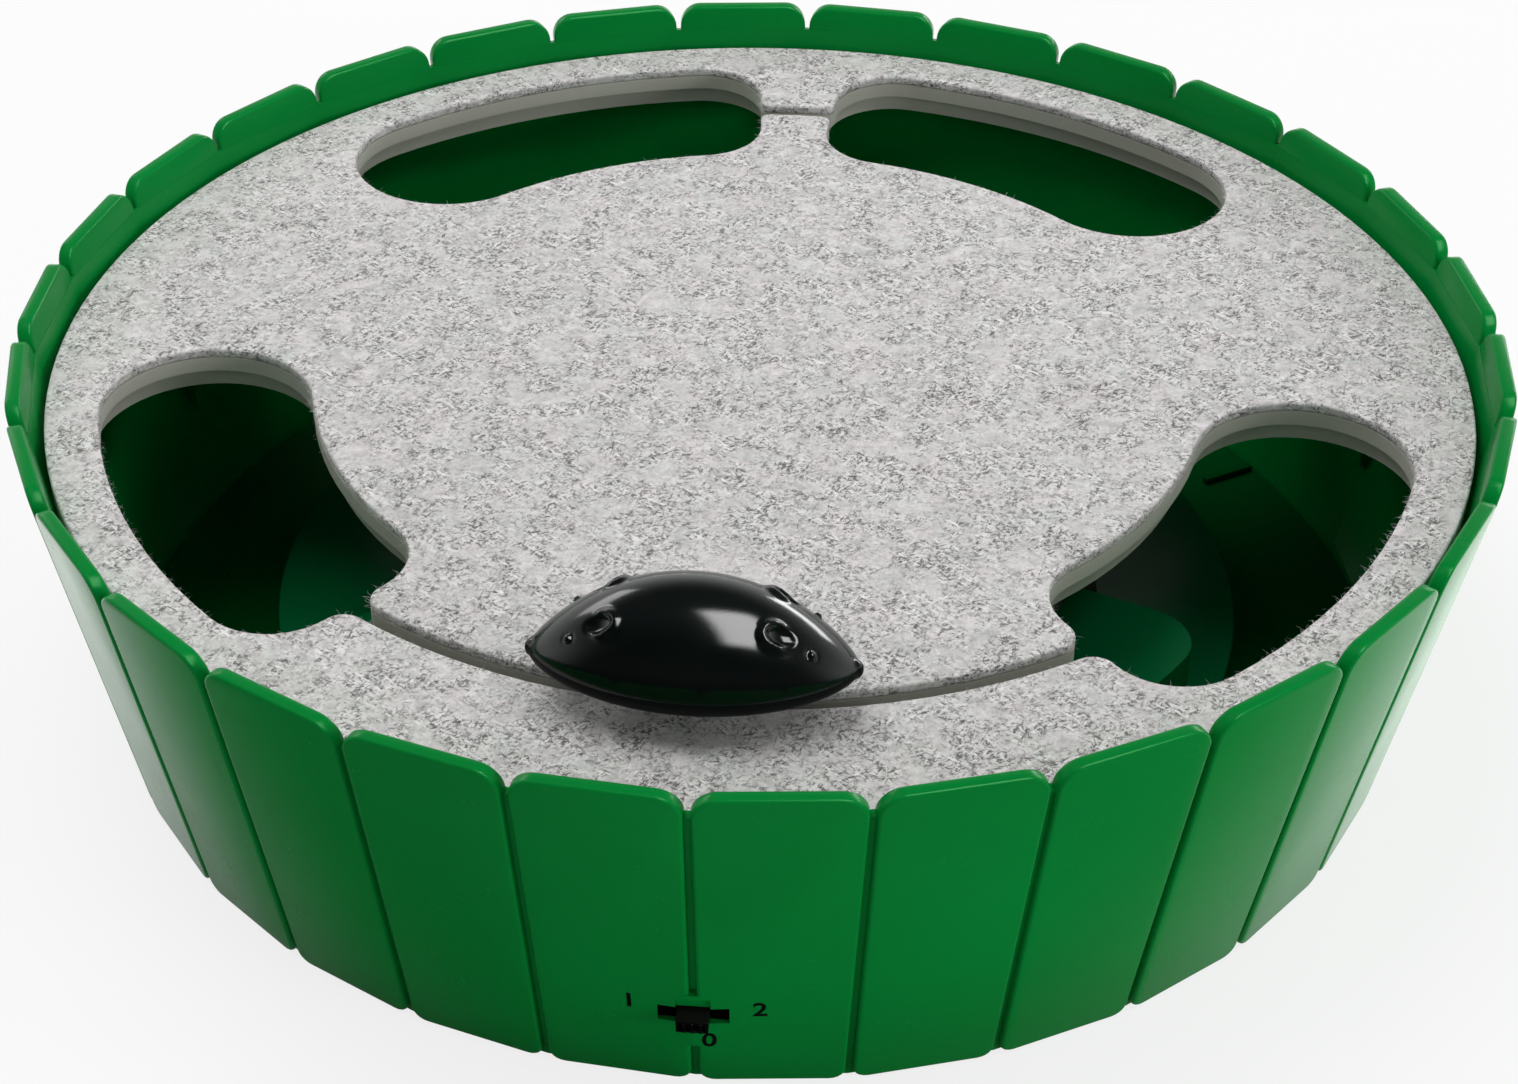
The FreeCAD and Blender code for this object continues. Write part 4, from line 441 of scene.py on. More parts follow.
def makeSlat():
    footWide = 2 * fence["footOut"] * math.tan(facet / 2) - fence["groove"]
    topWide = 2 * fence["topOut"] * math.tan(facet / 2) - fence["groove"]
    pickNone()
    bpy.ops.mesh.primitive_plane_add(size=1, location=(0, 0, 0), rotation=(math.pi / 2, 0, 0))
    slat = settle(added("slat"))
    pickAll(slat)
    bpy.ops.transform.resize(value=(footWide, 1, slant), center_override=(0, 0, 0))
    bpy.ops.transform.translate(value=(0, 0, slant / 2))
    pickVerts(slat, lambda co: co.z > slant / 2)
    bpy.ops.transform.resize(value=(topWide / footWide, 1, 1), center_override=(0, 0, slant))
    bpy.ops.mesh.bevel(offset=fence["topCorner"], segments=8, affect="VERTICES", clamp_overlap=False)
    pickVerts(slat, lambda co: co.z < touching)
    bpy.ops.mesh.bevel(offset=fence["footCorner"], segments=5, affect="VERTICES", clamp_overlap=False)
    closeMesh()
    slat.rotation_euler.x = lean
    settle(slat)
    pickAll(slat)
    pushFaces((0, fence["wall"], 0))
    bpy.ops.mesh.select_all(action="SELECT")
    bpy.ops.mesh.normals_make_consistent(inside=False)

    def onFace(a, b, behind):
        return all(abs(co.y - behind + leanRun * co.z / fence["tall"]) < touching for co in (a, b))

    # all round the front, and round the top corners behind
    topOnly = fence["tall"] - fence["topCorner"] * 1.05
    pickEdges(slat, lambda a, b: onFace(a, b, 0) or onFace(a, b, fence["wall"]) and min(a.z, b.z) > topOnly)
    bpy.ops.mesh.bevel(offset=fence["edgeRound"], segments=3, affect="EDGES")
    closeMesh()
    slat.location = (0, -fence["footOut"], 0)
    return settle(slat)


def makeInnerWall():
    low, high = fence["innerFoot"], fence["tall"] - fence["notchDeep"]
    atCorner = math.cos(facet / 2)
    pickNone()
    bpy.ops.mesh.primitive_cone_add(
        vertices=fence["slats"], radius1=(outerFace(low) - fence["grooveDeep"]) / atCorner,
        radius2=(outerFace(high) - fence["grooveDeep"]) / atCorner, depth=high - low,
        end_fill_type="NOTHING", location=(0, 0, (low + high) / 2))
    inner = settle(added("innerWall"))
    thick = fence["wall"] - fence["grooveDeep"] + fence["overlap"]
    finishModifier(inner, "SOLIDIFY", thickness=thick, offset=-1, use_even_offset=True)
    allOutward(inner)
    return inner


def makeFlange():
    pickNone()
    bpy.ops.mesh.primitive_circle_add(vertices=120, radius=fence["flangeBore"], location=(0, 0, 0.0))
    flange = added("flange")
    pickAll(flange)
    bpy.ops.mesh.extrude_edges_move()
    reach = (outerFace(0) - fence["flangeSetBack"]) / fence["flangeBore"]
    bpy.ops.transform.resize(value=(reach, reach, 1), center_override=(0, 0, 0))
    bpy.ops.mesh.select_all(action="SELECT")
    pushFaces((0, 0, fence["flangeThick"]))
    closeMesh()
    allOutward(flange)
    atBore = fence["flangeBore"] * 1.001
    pickEdges(flange, lambda a, b: max(math.hypot(a.x, a.y), math.hypot(b.x, b.y)) < atBore
              and abs(a.z - b.z) < touching)
    bpy.ops.mesh.bevel(offset=fence["flangeRound"], segments=2, affect="EDGES")
    closeMesh()
    return flange


def makeLidPosts():
    # hollow posts under the lid, each on a gusset that runs down to the wall
    parts = []
    tall = fence["postTop"] - fence["postFoot"]
    gussetTop = fence["postTop"] - fence["gussetDrop"]
    for step in range(fence["postCount"]):
        angle = math.radians(fence["postAngle"] + 360 / fence["postCount"] * step)
        centre = (fence["postOut"], 0, fence["postFoot"] + tall / 2)
        post = makeRod("lidPost", fence["postRadius"], tall, centre, fence["postSides"])
        pickFaces(post, lambda middle, normal: normal.z > 0.9)
        bpy.ops.mesh.inset(thickness=fence["postRim"])
        pushFaces((0, 0, -fence["postHoleDeep"]))
        closeMesh()
        size = (fence["gussetWide"], fence["gussetThick"], gussetTop - fence["gussetFoot"])
        gusset = makeBlock("gusset", size, (fence["postOut"], 0, (gussetTop + fence["gussetFoot"]) / 2))
        inner = outerFace(fence["gussetFoot"]) - fence["wall"] - fence["gussetDrop"]
        pickVerts(gusset, lambda co: co.z < fence["postFoot"])
        bpy.ops.transform.translate(value=(inner - fence["postOut"], 0, 0))
        pickVerts(gusset, lambda co: co.z < fence["postFoot"] and co.x < inner)
        bpy.ops.transform.translate(value=(fence["gussetNarrow"], 0, 0))
        pickVerts(gusset, lambda co: co.z > fence["postFoot"] and co.x > fence["postOut"])
        bpy.ops.transform.translate(value=(fence["gussetReach"], 0, 0))
        closeMesh()
        for part in (post, gusset):
            part.matrix_world = Matrix.Rotation(angle, 4, "Z")
            settle(part)
            parts.append(part)
    return parts


def makeBoardPosts():
    # two hollow posts inside the wall that hold the switch's board
    posts = []
    for side in (-1, 1):
        place = (side * fence["boardPostAlong"], fence["boardPostDeep"] / 2, 0)
        post = makeRod("boardPost", fence["boardPostRadius"], fence["boardPostDeep"], place,
                       fence["postSides"], (math.pi / 2, 0, 0))
        pickFaces(post, lambda middle, normal: normal.y > 0.9)
        bpy.ops.mesh.inset(thickness=fence["boardPostRadius"] - fence["boardPostHole"])
        pushFaces((0, -fence["boardPostHoleDeep"], 0))
        closeMesh()
        post.matrix_world = wallFrame()
        posts.append(settle(post))
    return posts


def makeGrooveFill():
    # around the switch the groove is filled flush with its two slats
    cornerLean = math.atan2(leanRun / math.cos(facet / 2), fence["tall"])
    tall = (fence["fillHigh"] - fence["fillLow"]) / math.cos(cornerLean)
    size = (fence["fillWide"], fence["fillDeep"], tall)
    fill = makeBlock("grooveFill", size, (0, fence["fillDeep"] / 2, tall / 2))
    pickAll(fill)
    bpy.ops.mesh.bisect(plane_co=(0, 0, 0), plane_no=(1, 0, 0))
    pickVerts(fill, lambda co: abs(co.x) > fence["fillWide"] / 4 and co.y < fence["fillDeep"] / 4)
    sideStep = fence["fillWide"] / 2 * math.tan(facet / 2) * math.cos(cornerLean)
    bpy.ops.transform.translate(value=(0, sideStep, 0))
    closeMesh()
    corner = outerFace(fence["fillLow"]) / math.cos(facet / 2) + fence["fillProud"]
    leaning = Matrix.Rotation(cornerLean, 4, "X")
    fill.matrix_world = Matrix.Translation((0, -corner, fence["fillLow"])) @ leaning
    return settle(fill)


def makeWallCutter():
    # the switch's slot, the recess above it, the nest behind it and the sunk screw holes in the flange
    cutters = []
    gateShift = (fence["gateTall"] - fence["slotTall"]) / 2
    for long, start, end, tall, up in (
            (fence["slotLong"], fence["outside"], fence["slotIn"], fence["slotTall"], 0),
            (fence["gateLong"], fence["outside"], -fence["gateSkin"], fence["gateTall"], gateShift),
            (fence["nestLong"], -fence["nestSkin"], fence["nestIn"], fence["nestTall"], 0)):
        recess = makeBlock("recess", (long, end - start, tall), (0, (start + end) / 2, up))
        recess.matrix_world = wallFrame()
        cutters.append(settle(recess))
    for step in range(fence["footScrews"]):
        angle = math.radians(fence["footScrewAngle"] + 360 / fence["footScrews"] * step)
        centre = (fence["footScrewOut"] * math.cos(angle), fence["footScrewOut"] * math.sin(angle), 0)
        cutters.append(makeRod("sink", fence["footScrewSink"], fence["footScrewDeep"] * 2, centre))
        cutters.append(makeRod("hole", fence["footHole"], fence["footHoleDeep"] * 2, centre))
    return joined("wallCutter", cutters)


slat = makeSlat()
slatCopies = []
for step in range(fence["slats"]):
    copy = doubled(slat)
    copy.matrix_world = Matrix.Rotation(facet * (step + 0.5), 4, "Z") @ slat.matrix_world
    slatCopies.append(settle(copy))
bpy.data.objects.remove(slat)
innerWall = makeInnerWall()
flange = makeFlange()
fencePieces = slatCopies + [innerWall, flange, makeGrooveFill()] + makeLidPosts() + makeBoardPosts()
fenceWall = joined("fenceWall", fencePieces)
cutAway(fenceWall, makeWallCutter(), use_self=True)
softShade(fenceWall, 40)
dress(fenceWall, "green")
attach(fenceWall, "base")
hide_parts("fence_ring")
print("fence wall made:", len(fenceWall.data.polygons), "faces")

# mouse: almond body, domed over a flat belly, with hooded ears, beads in sockets and a nose at each tip
mouse = {
    "out": 92.3 * mm, "turn": -1.25, "middle": 65.8 * mm, "long": 49.4 * mm, "wide": 24.4 * mm,
    "dome": 12.8 * mm, "belly": 4.9 * mm, "sidePower": 0.6, "domePower": 0.85, "sides": 96, "rings": 72,
    "noseInset": 0.4 * mm, "noseRadius": 1.6 * mm, "split": 66.6 * mm, "seam": 0.05 * mm, "wall": 1.5 * mm,
    "earAlong": 12.0 * mm, "earAside": 5.0 * mm, "earRadius": 3.1 * mm, "earSink": 1.25 * mm,
    "earStretch": (1.0, 0.95, 0.72),
    "scoopRadius": 2.3 * mm, "scoopLift": 1.25 * mm, "scoopAhead": 1.5 * mm,
    "scoopStretch": (1.35, 0.86, 0.9),
    "eyeAlong": 17.5 * mm, "eyeAside": 4.8 * mm, "socketRadius": 2.2 * mm, "socketLift": 1.8 * mm,
    "beadRadius": 0.7 * mm, "beadSink": 0.15 * mm, "voxel": 0.24 * mm,
    "slotLong": 7.2 * mm, "slotWide": 1.8 * mm, "screwAlong": 12.5 * mm, "screwHole": 1.8 * mm,
    "screwFloor": 63.9 * mm, "cutterFoot": 50 * mm, "cutterTall": 20 * mm,
}
mouseHalf = mouse["long"] / 2 - mouse["noseInset"]


def mouseGirth(share):
    # half width, dome height and belly depth at a share of the half length
    left = max(1 - share * share, 0)
    slim = left ** mouse["sidePower"]
    return mouse["wide"] / 2 * slim, mouse["dome"] * left ** mouse["domePower"], mouse["belly"] * slim


def backHeight(across, along):
    wide, dome = mouseGirth(along / mouseHalf)[:2]
    return mouse["middle"] + dome * math.sqrt(max(1 - (across / wide) ** 2, 0))


def onBack(across, along):
    # matrix of a place on the mouse's back: z outwards, x towards the nearer tip
    step = 0.05 * mm
    fallAside = backHeight(across - step, along) - backHeight(across + step, along)
    fallAlong = backHeight(across, along - step) - backHeight(across, along + step)
    normal = Vector((fallAside, fallAlong, 2 * step)).normalized()
    tipward = Vector((0, math.copysign(1, along), 0))
    tipward = (tipward - normal * tipward.dot(normal)).normalized()
    turned = Matrix((tipward, normal.cross(tipward), normal)).transposed().to_4x4()
    return Matrix.Translation((across, along, backHeight(across, along))) @ turned


def makeAlmond():
    # a ball of radius 1 with its poles on the tips, each ring drawn in to the girth there
    pickNone()
    bpy.ops.mesh.primitive_uv_sphere_add(segments=mouse["sides"], ring_count=mouse["rings"], radius=1)
    almond = added("almond")
    almond.rotation_euler.x = math.pi / 2
    almond.scale.z = mouseHalf
    settle(almond)
    for step in range(1, mouse["rings"]):
        share = math.cos(math.pi * step / mouse["rings"])
        wide, dome, belly = mouseGirth(share)
        ball = math.sqrt(1 - share * share)
        aside = 0.0001 * ball

        def onRing(co):
            return abs(co.y / mouseHalf - share) < 0.00005

        for chosen, stretch in ((onRing, (wide / ball, 1, 1)),
                                (lambda co: onRing(co) and co.z > aside, (1, 1, dome / ball)),
                                (lambda co: onRing(co) and co.z < -aside, (1, 1, belly / ball))):
            pickVerts(almond, chosen)
            bpy.ops.transform.resize(value=stretch, center_override=(0, 0, 0))
    closeMesh()
    almond.location.z = mouse["middle"]
    return settle(almond)


def makeBall(name, radius, matrix, stretch=(1, 1, 1)):
    pickNone()
    bpy.ops.mesh.primitive_uv_sphere_add(segments=32, ring_count=20, radius=radius)
    ball = added(name)
    ball.scale = stretch
    settle(ball)
    ball.matrix_world = matrix
    return settle(ball)


def smoothSkin(body, times):
    finishModifier(body, "REMESH", mode="VOXEL", voxel_size=mouse["voxel"], use_smooth_shade=True)
    finishModifier(body, "SMOOTH", factor=0.5, iterations=times)


def makeMouse():
    # bumps are melted into the almond, then scoops and sockets are cut and the beads set in
    almond = makeAlmond()
    bumps, scoops, sockets, beads = [], [], [], []
    for end in (-1, 1):
        tip = Matrix.Translation((0, end * (mouse["long"] / 2 - mouse["noseRadius"]), mouse["middle"]))
        bumps.append(makeBall("nose", mouse["noseRadius"], tip))
        for side in (-1, 1):
            ear = onBack(side * mouse["earAside"], end * mouse["earAlong"])
            hood = ear @ Matrix.Translation((0, 0, -mouse["earSink"]))
            bumps.append(makeBall("ear", mouse["earRadius"], hood, mouse["earStretch"]))
            inEar = ear @ Matrix.Translation((mouse["scoopAhead"], 0, mouse["scoopLift"]))
            scoops.append(makeBall("earScoop", mouse["scoopRadius"], inEar, mouse["scoopStretch"]))
            eye = onBack(side * mouse["eyeAside"], end * mouse["eyeAlong"])
            overEye = eye @ Matrix.Translation((0, 0, mouse["socketLift"]))
            sockets.append(makeBall("socket", mouse["socketRadius"], overEye))
            inEye = eye @ Matrix.Translation((0, 0, -mouse["beadSink"]))
            beads.append(makeBall("bead", mouse["beadRadius"], inEye))
    body = joined("mouseBody", [almond] + bumps)
    smoothSkin(body, 10)
    cutAway(body, joined("scoops", scoops + sockets))
    body = joined("mouseBody", [body] + beads)
    smoothSkin(body, 5)
    return body


def makeMouseHalf(body, name, upper):
    # a hollow shell above or below the seam, the lower one with the post's slot and two screw holes
    half = doubled(body)
    half.name = half.data.name = name
    pickAll(half)
    gap = mouse["seam"] if upper else -mouse["seam"]
    bpy.ops.mesh.bisect(plane_co=(0, 0, mouse["split"] + gap), plane_no=(0, 0, 1), use_fill=False,
                        clear_inner=upper, clear_outer=not upper)
    closeMesh()
    finishModifier(half, "SOLIDIFY", thickness=mouse["wall"], offset=-1)
    if not upper:
        tall = mouse["cutterTall"]
        cutters = [makeBlock("postSlot", (mouse["slotWide"], mouse["slotLong"], tall),
                             (0, 0, mouse["cutterFoot"] + tall / 2))]
        for end in (-1, 1):
            place = (0, end * mouse["screwAlong"], mouse["screwFloor"] - tall / 2)
            cutters.append(makeRod("screwHole", mouse["screwHole"], tall, place))
        cutAway(half, joined("slotAndHoles", cutters))
    half.matrix_world = (Matrix.Rotation(math.radians(mouse["turn"] - 90), 4, "Z")
                         @ Matrix.Translation((mouse["out"], 0, 0)))
    settle(half)
    softShade(half, 50)
    # the lower shell takes the darker, duller copy of the charcoal: painted shade under the mouse
    dress(half, "mouse" if upper else "mouseBelly")
    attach(half, "arm")
    return half


mouseBody = makeMouse()
mouseTop = makeMouseHalf(mouseBody, "mouseTop", True)
mouseBelly = makeMouseHalf(mouseBody, "mouseBelly", False)
bpy.data.objects.remove(mouseBody)
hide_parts("mouse_upper")
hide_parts("mouse_lower")
print("mouse made:", len(mouseTop.data.polygons), "and", len(mouseBelly.data.polygons), "faces")

# felt mat: the cut outline of the cad mat, filled again with soft edges, with short fibres in the openings
felt = {
    "low": 56.6 * mm, "high": 58.3 * mm, "edge": 0.45 * mm, "size": 237.4 * mm,
    "tuftEvery": 2.6 * mm, "tuftKinds": 6, "hairs": 5, "hairLong": (0.5 * mm, 1.7 * mm),
    "hairThick": 0.035 * mm, "hairRoot": 0.25 * mm, "hairUp": 0.6 * mm, "seed": 7,
}
chance = random.Random(felt["seed"])


def cutOutline(node, height):
    # the edges of a flat face of a cad node, as closed flat curves
    sheet = doubled(cadNodes[node])
    sheet.parent = None
    sheet.matrix_world = Matrix.Identity(4)
    for key in list(sheet.keys()):
        del sheet[key]
    pickAll(sheet)
    bpy.ops.mesh.remove_doubles(threshold=0.000001)
    pickFaces(sheet, lambda centre, normal: normal.z < 0.9 or abs(centre.z - height) > 0.0001)
    bpy.ops.mesh.delete(type="FACE")
    bpy.ops.mesh.select_all(action="SELECT")
    bpy.ops.mesh.region_to_loop()
    bpy.ops.mesh.select_all(action="INVERT")
    bpy.ops.mesh.delete(type="EDGE_FACE")
    closeMesh()
    pickOnly(sheet)
    bpy.ops.object.convert(target="CURVE")
    return added("outline")


def loopArea(loop):
    # positive where the loop runs anticlockwise
    return sum(a.x * b.y - b.x * a.y for a, b in zip(loop, loop[1:] + loop[:1])) / 2


def makeHair():
    # bent three sided spike along x
    long = chance.uniform(*felt["hairLong"])
    pickNone()
    bpy.ops.mesh.primitive_cone_add(
        vertices=3, radius1=felt["hairThick"], radius2=felt["hairThick"] * 0.2, depth=long,
        location=(long / 2 - felt["hairRoot"], 0, 0), rotation=(0, math.pi / 2, 0))
    hair = settle(added("hair"))
    pickAll(hair)
    bpy.ops.mesh.bisect(plane_co=(long * 0.45, 0, 0), plane_no=(1, 0, 0))
    pickVerts(hair, lambda co: co.x > long * 0.6)
    bpy.ops.transform.translate(
        value=(0, chance.uniform(-0.35, 0.35) * long, chance.uniform(-0.25, 0.15) * long))
    closeMesh()
    hair.rotation_euler = (0, chance.uniform(-0.35, 0.35), chance.uniform(-1.0, 1.0))
    hair.location = (0, chance.uniform(-0.5, 0.5) * felt["tuftEvery"],
                     chance.uniform(-felt["hairUp"], felt["hairUp"]))
    return settle(hair)


def makeFibres(loops):
    # a few kinds of tufts, copied along every cut edge of the openings
    tufts = []
    for kind in range(felt["tuftKinds"]):
        tufts.append(joined("tuft", [makeHair() for step in range(felt["hairs"])]))
    copies = []
    middle = (felt["low"] + felt["high"]) / 2
    for loop in loops:
        side = math.copysign(math.pi / 2, loopArea(loop))
        ahead = felt["tuftEvery"] / 2
        for start, end in zip(loop, loop[1:] + loop[:1]):
            run = end - start
            while ahead < run.length:
                at = start + run * (ahead / run.length)
                turn = math.atan2(run.y, run.x) + side
                copy = doubled(chance.choice(tufts))
                copy.matrix_world = Matrix.Translation((at.x, at.y, middle)) @ Matrix.Rotation(turn, 4, "Z")
                copies.append(copy)
                ahead += felt["tuftEvery"] * chance.uniform(0.6, 1.4)
            ahead -= run.length
    for tuft in tufts:
        bpy.data.objects.remove(tuft)
    return settle(joined("feltFibres", copies))


def makeFelt():
    outline = cutOutline("felt_mat", felt["high"])
    curve = outline.data
    loops = [[Vector((point.co.x, point.co.y, 0)) for point in spline.points] for spline in curve.splines]
    loops.sort(key=lambda loop: -abs(loopArea(loop)))
    curve.dimensions = "2D"
    curve.fill_mode = "BOTH"
    curve.extrude = (felt["high"] - felt["low"]) / 2 - felt["edge"]
    curve.bevel_depth = felt["edge"]
    curve.bevel_resolution = 3
    curve.offset = -felt["edge"]
    pickOnly(outline)
    bpy.ops.object.convert(target="MESH")
    mat = added("feltMat")
    allOutward(mat)
    mat.location.z = felt["high"] - max(vert.co.z for vert in mat.data.vertices)
    settle(mat)
    softShade(mat, 60)
    return mat, loops


feltMat, feltLoops = makeFelt()
feltFibres = makeFibres(feltLoops[1:])
for piece in (feltMat, feltFibres):
    dress(piece, "felt")
    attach(piece, "base")
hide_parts("felt_mat")

# switch knob with a dished, ridged tip
knob = {
    "long": 4.8 * mm, "tall": 2.6 * mm, "out": 4.6 * mm, "tip": 0.3 * mm, "dish": 0.45 * mm,
    "edge": 0.16 * mm,
    "flangeLong": 6.4 * mm, "flangeTall": 4.8 * mm, "flangeThick": 0.8 * mm, "flangeIn": 0.2 * mm,
    "ridges": 3, "ridgeEvery": 1.25 * mm, "ridgeThick": 0.4 * mm, "ridgeDeep": 0.8 * mm,
    "ridgeIn": 0.08 * mm, "overlap": 0.2 * mm,
}


def makeKnobBlock(name, long, deep, tall, inward, edge):
    block = makeBlock(name, (long, deep, tall), (0, inward + deep / 2, 0))
    if edge:
        pickEdges(block, lambda a, b: True)
        bpy.ops.mesh.bevel(offset=edge, segments=2, affect="EDGES")
        closeMesh()
    return block


def makeKnob():
    deep = knob["out"] + knob["flangeIn"] + knob["overlap"]
    stem = makeKnobBlock("knobStem", knob["long"], deep, knob["tall"], -knob["out"], 0)
    pickFaces(stem, lambda centre, normal: normal.y < -0.9)
    bpy.ops.mesh.inset(thickness=knob["dish"])
    pushFaces((0, knob["tip"], 0))
    pickEdges(stem, lambda a, b: max(a.y, b.y) < -knob["out"] + touching)
    bpy.ops.mesh.bevel(offset=knob["edge"], segments=2, affect="EDGES")
    closeMesh()
    parts = [stem, makeKnobBlock("knobFlange", knob["flangeLong"], knob["flangeThick"], knob["flangeTall"],
                                 knob["flangeIn"], knob["edge"])]
    for step in range(knob["ridges"]):
        ridge = makeKnobBlock("ridge", knob["ridgeThick"], knob["ridgeDeep"], knob["tall"] * 0.84,
                              -knob["out"] - knob["tip"] + knob["ridgeIn"], knob["edge"] * 0.8)
        ridge.location.x = (step - (knob["ridges"] - 1) / 2) * knob["ridgeEvery"]
        parts.append(settle(ridge))
    piece = joined("switchGrip", parts)
    piece.matrix_world = wallFrame()
    settle(piece)
    softShade(piece, 40)
    return piece


switchGrip = makeKnob()
dress(switchGrip, "knob")
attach(switchGrip, "knob")
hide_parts("switch_knob")
print("switch knob made")

# printed numerals, flat on the two slats beside the switch
numerals = {
    "size": 4.6 * mm, "thick": 0.03 * mm, "bold": 0.09 * mm, "proud": 0.01 * mm,
    "places": (("1", -9.6 * mm, 18.2 * mm), ("2", 9.9 * mm, 17.8 * mm), ("0", 2.3 * mm, 10.3 * mm)),
}


def makeNumeral(sign, across, up):
    bpy.ops.object.text_add(location=(0, 0, 0))
    words = bpy.context.active_object
    words.data.body = sign
    words.data.size = numerals["size"]
    words.data.align_x = "CENTER"
    words.data.align_y = "CENTER"
    words.data.extrude = numerals["thick"]
    words.data.offset = numerals["bold"]
    pickOnly(words)
    bpy.ops.object.convert(target="MESH")
    numeral = added("numeral" + sign)
    # upright on the leaning face of the slat at that side of the groove
    side = 1 if across > 0 else -1
    face = outerFace(up)
    onSlat = Matrix.Translation((across - side * face * math.tan(facet / 2), -face - numerals["proud"], up))
    upright = Matrix.Rotation(lean, 4, "X") @ Matrix.Rotation(math.pi / 2, 4, "X")
    numeral.matrix_world = Matrix.Rotation(side * facet / 2, 4, "Z") @ onSlat @ upright
    settle(numeral)
    dress(numeral, "ink")
    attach(numeral, "base")


for sign, across, up in numerals["places"]:
    makeNumeral(sign, across, up)
print("numerals printed")

# the camera stands where the photograph was taken from
view = {
    "place": (34.43 * mm, -466.89 * mm, 350.12 * mm), "along": (-0.0788, 0.8144, -0.5749),
    "roll": -0.065, "lens": 77.60, "sensor": 36, "shiftX": 0.0424, "shiftY": 0.0019,
}
lensData = bpy.data.cameras.new("camera")
lensData.lens = view["lens"]
lensData.sensor_width = view["sensor"]
lensData.shift_x = view["shiftX"]
lensData.shift_y = view["shiftY"]
lensData.clip_start = 0.02
lensData.clip_end = 20
camera = bpy.data.objects.new("camera", lensData)
bpy.context.collection.objects.link(camera)
aim = Vector(view["along"]).to_track_quat("-Z", "Y").to_matrix().to_4x4()
rolled = Matrix.Rotation(math.radians(view["roll"]), 4, "Z")
camera.matrix_world = Matrix.Translation(view["place"]) @ aim @ rolled
bpy.context.scene.camera = camera

# pale floor that keeps the shadow, brightened for the camera and darker in front in reflections
floorSet = {
    "size": 6.0, "drop": 0.02 * mm, "glow": 0.80, "mirrorFrom": -0.12, "mirrorTo": 0.02, "mirrorDark": 0.02,
    "mirrorPale": 2.0,
}
pickNone()
bpy.ops.mesh.primitive_plane_add(size=floorSet["size"], location=(0, 0, -floorSet["drop"]))
studioFloor = settle(added("studioFloor"))
floorFinish, floorTree, floorShader = newFinish("paleFloor")
floorTree.nodes.remove(floorShader)
floorOut = next(node for node in floorTree.nodes if node.type == "OUTPUT_MATERIAL")
paper = addNode(floorTree, "ShaderNodeBsdfDiffuse")
paperTone = ramp(floorTree, noise(floorTree, objectSpace(floorTree), 9, 3, 0.5),
                 [(0.3, (0.86, 0.86, 0.86)), (0.7, (0.88, 0.88, 0.88))])
floorTree.links.new(paperTone, paper.inputs["Color"])
glow = addNode(floorTree, "ShaderNodeEmission", Color=(1, 1, 1, 1), Strength=1.0)
seen, mirrored = rayKinds(floorTree)
shown = mixShaders(floorTree, reckon(floorTree, "MULTIPLY", seen, floorSet["glow"]), paper.outputs[0],
                   glow.outputs[0])
depth = partsOf(floorTree, objectSpace(floorTree))["Y"]
mirrorGlow = addNode(floorTree, "ShaderNodeEmission", Color=(1, 1, 1, 1))
mirrorLevel = smoothRange(floorTree, depth, floorSet["mirrorFrom"], floorSet["mirrorTo"],
                          floorSet["mirrorDark"], floorSet["mirrorPale"])
floorTree.links.new(mirrorLevel, mirrorGlow.inputs["Strength"])
floorSkin = mixShaders(floorTree, mirrored, shown, mirrorGlow.outputs[0])
floorTree.links.new(floorSkin, floorOut.inputs["Surface"])
studioFloor.data.materials.append(floorFinish)

# soft light from above, two lamps on the right and two strips behind: place, height of the aim, size,
# power in watts and whether glossy pieces mirror it
lamps = {
    "above": ((-0.32, 0.12, 1.10), 0.05, (0.80, 0.80), 7.2, False),
    "highRight": ((0.60, -0.05, 0.90), 0.05, (0.30, 0.30), 1.5, False),
    "lowRight": ((0.95, -0.50, 0.20), 0.03, (0.35, 0.30), 4.2, False),
    "backRight": ((0.68, 1.05, 0.40), 0.05, (0.60, 0.14), 3.0, True),
    "backLeft": ((-0.78, 0.86, 0.60), 0.05, (0.50, 0.25), 1.6, True),
}


def facing(place, aim, turn=0):
    turned = (Vector(aim) - Vector(place)).to_track_quat("-Z", "Y").to_matrix().to_4x4()
    return turned @ Matrix.Rotation(math.radians(turn), 4, "Z")


for lampName, (place, aimUp, size, power, isMirrored) in lamps.items():
    light = bpy.data.lights.new(lampName, "AREA")
    light.shape = "RECTANGLE"
    light.size, light.size_y = size
    light.energy = power
    holder = bpy.data.objects.new(lampName, light)
    bpy.context.collection.objects.link(holder)
    holder.visible_glossy = isMirrored
    holder.matrix_world = Matrix.Translation(place) @ facing(place, (0, 0, aimUp))

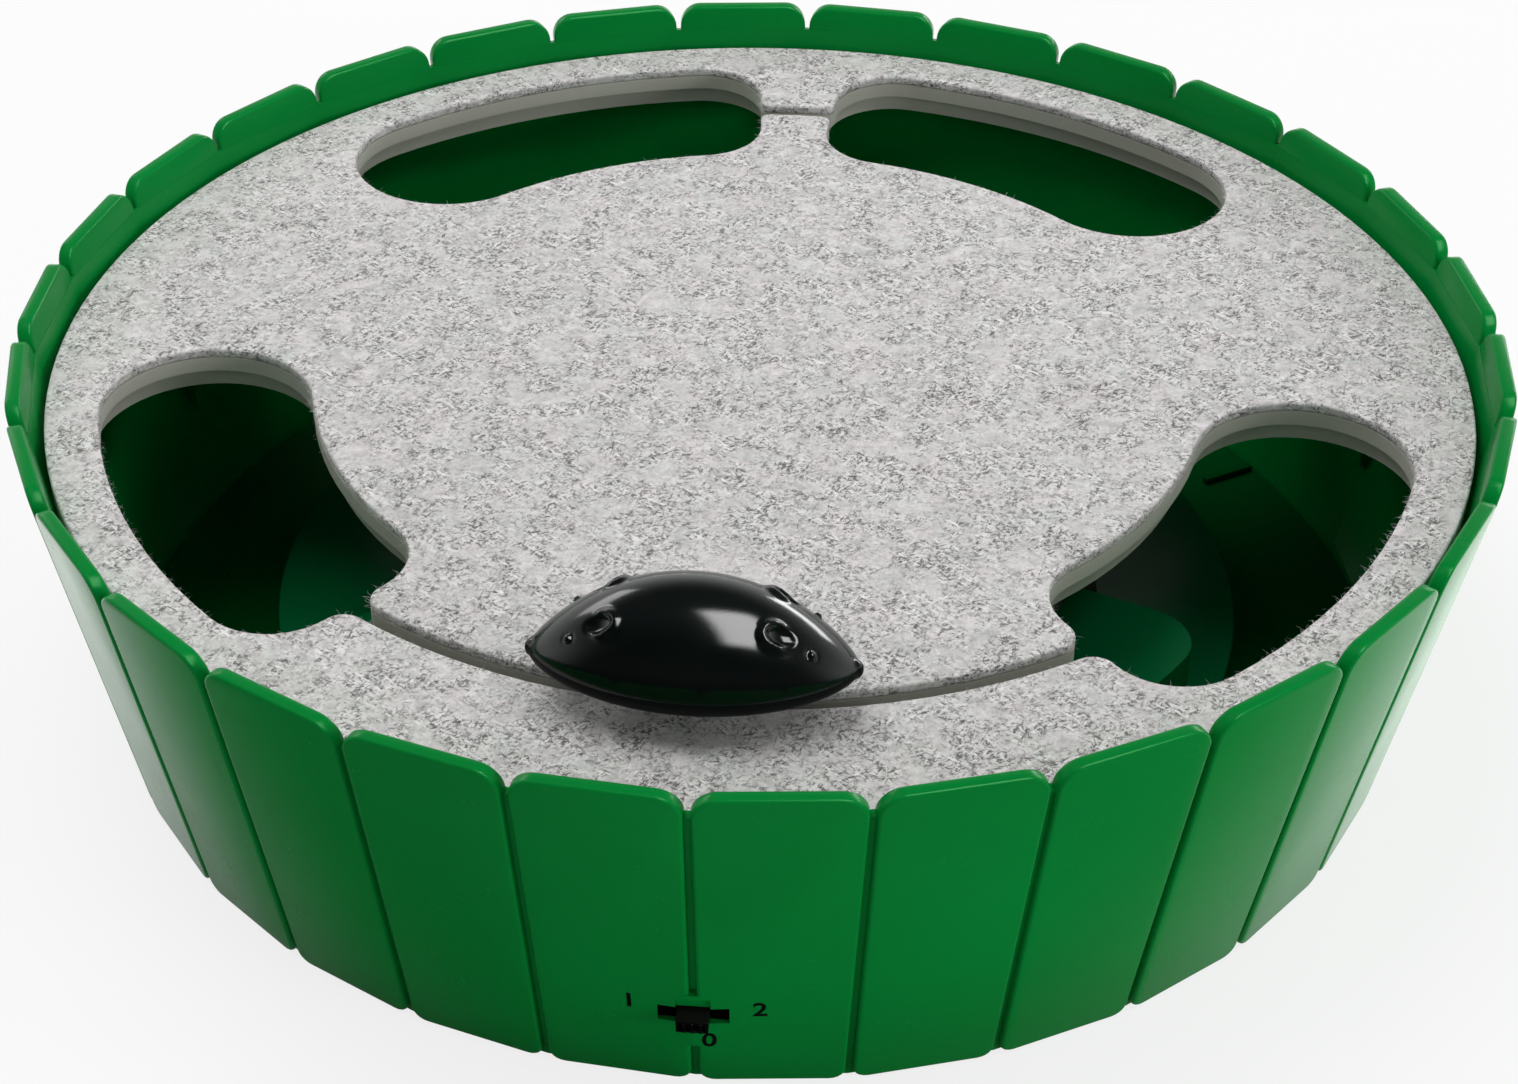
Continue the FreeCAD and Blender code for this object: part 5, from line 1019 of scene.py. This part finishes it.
# the surround: even for soft light, white to the camera; in reflections pale low down behind, dark above
# and in front, with one bright window high on the right
surroundSet = {
    "even": 0.30, "lowFrom": 0.10, "lowTo": 0.72, "above": 0.06, "frontFrom": -0.6, "frontTo": 0.1,
    "front": 0.05, "window": (0.41, -0.15, 1.05), "windowAim": (0, 0, 0.05), "windowTurn": -48,
    "windowHalf": (0.25, 0.38), "windowSoft": 0.07, "windowLight": 12.0,
}
surround = bpy.data.worlds.new("surround")
bpy.context.scene.world = surround
surround.use_nodes = True
skyTree = surround.node_tree
sky = skyTree.nodes["Background"]
sky.inputs["Color"].default_value = (1, 1, 1, 1)
skySeen, skyMirrored = rayKinds(skyTree)
skyPlace = addNode(skyTree, "ShaderNodeTexCoord").outputs["Generated"]
towards = partsOf(skyTree, skyPlace)
low = smoothRange(skyTree, towards["Z"], surroundSet["lowFrom"], surroundSet["lowTo"], 1.0,
                  surroundSet["above"])
back = smoothRange(skyTree, towards["Y"], surroundSet["frontFrom"], surroundSet["frontTo"],
                   surroundSet["front"], 1.0)
windowSpace = addNode(skyTree, "ShaderNodeMapping", vector_type="TEXTURE")
windowTurned = facing(surroundSet["window"], surroundSet["windowAim"], surroundSet["windowTurn"])
windowSpace.inputs["Rotation"].default_value = windowTurned.to_euler()
skyTree.links.new(skyPlace, windowSpace.inputs["Vector"])
inWindow = partsOf(skyTree, windowSpace.outputs["Vector"])
lit = reckon(skyTree, "GREATER_THAN", inWindow["Z"], 0.0)
soft = surroundSet["windowSoft"]
for axis, half in zip("XY", surroundSet["windowHalf"]):
    aside = reckon(skyTree, "ABSOLUTE", inWindow[axis])
    lit = reckon(skyTree, "MULTIPLY", lit, smoothRange(skyTree, aside, half - soft, half + soft, 1.0, 0.0))
mirror = reckon(skyTree, "ADD", reckon(skyTree, "MULTIPLY", low, back),
                reckon(skyTree, "MULTIPLY", lit, surroundSet["windowLight"]))
skyLevel = surroundSet["even"]
for ray, strength in ((skyMirrored, mirror), (skySeen, 1.0)):
    mix = addNode(skyTree, "ShaderNodeMix", data_type="FLOAT")
    for socket, value in ((0, ray), (2, skyLevel), (3, strength)):
        feed(skyTree, mix.inputs[socket], value)
    skyLevel = mix.outputs[0]
skyTree.links.new(skyLevel, sky.inputs["Strength"])
bpy.context.scene.view_settings.view_transform = "Standard"
print("camera, floor and lamps set")
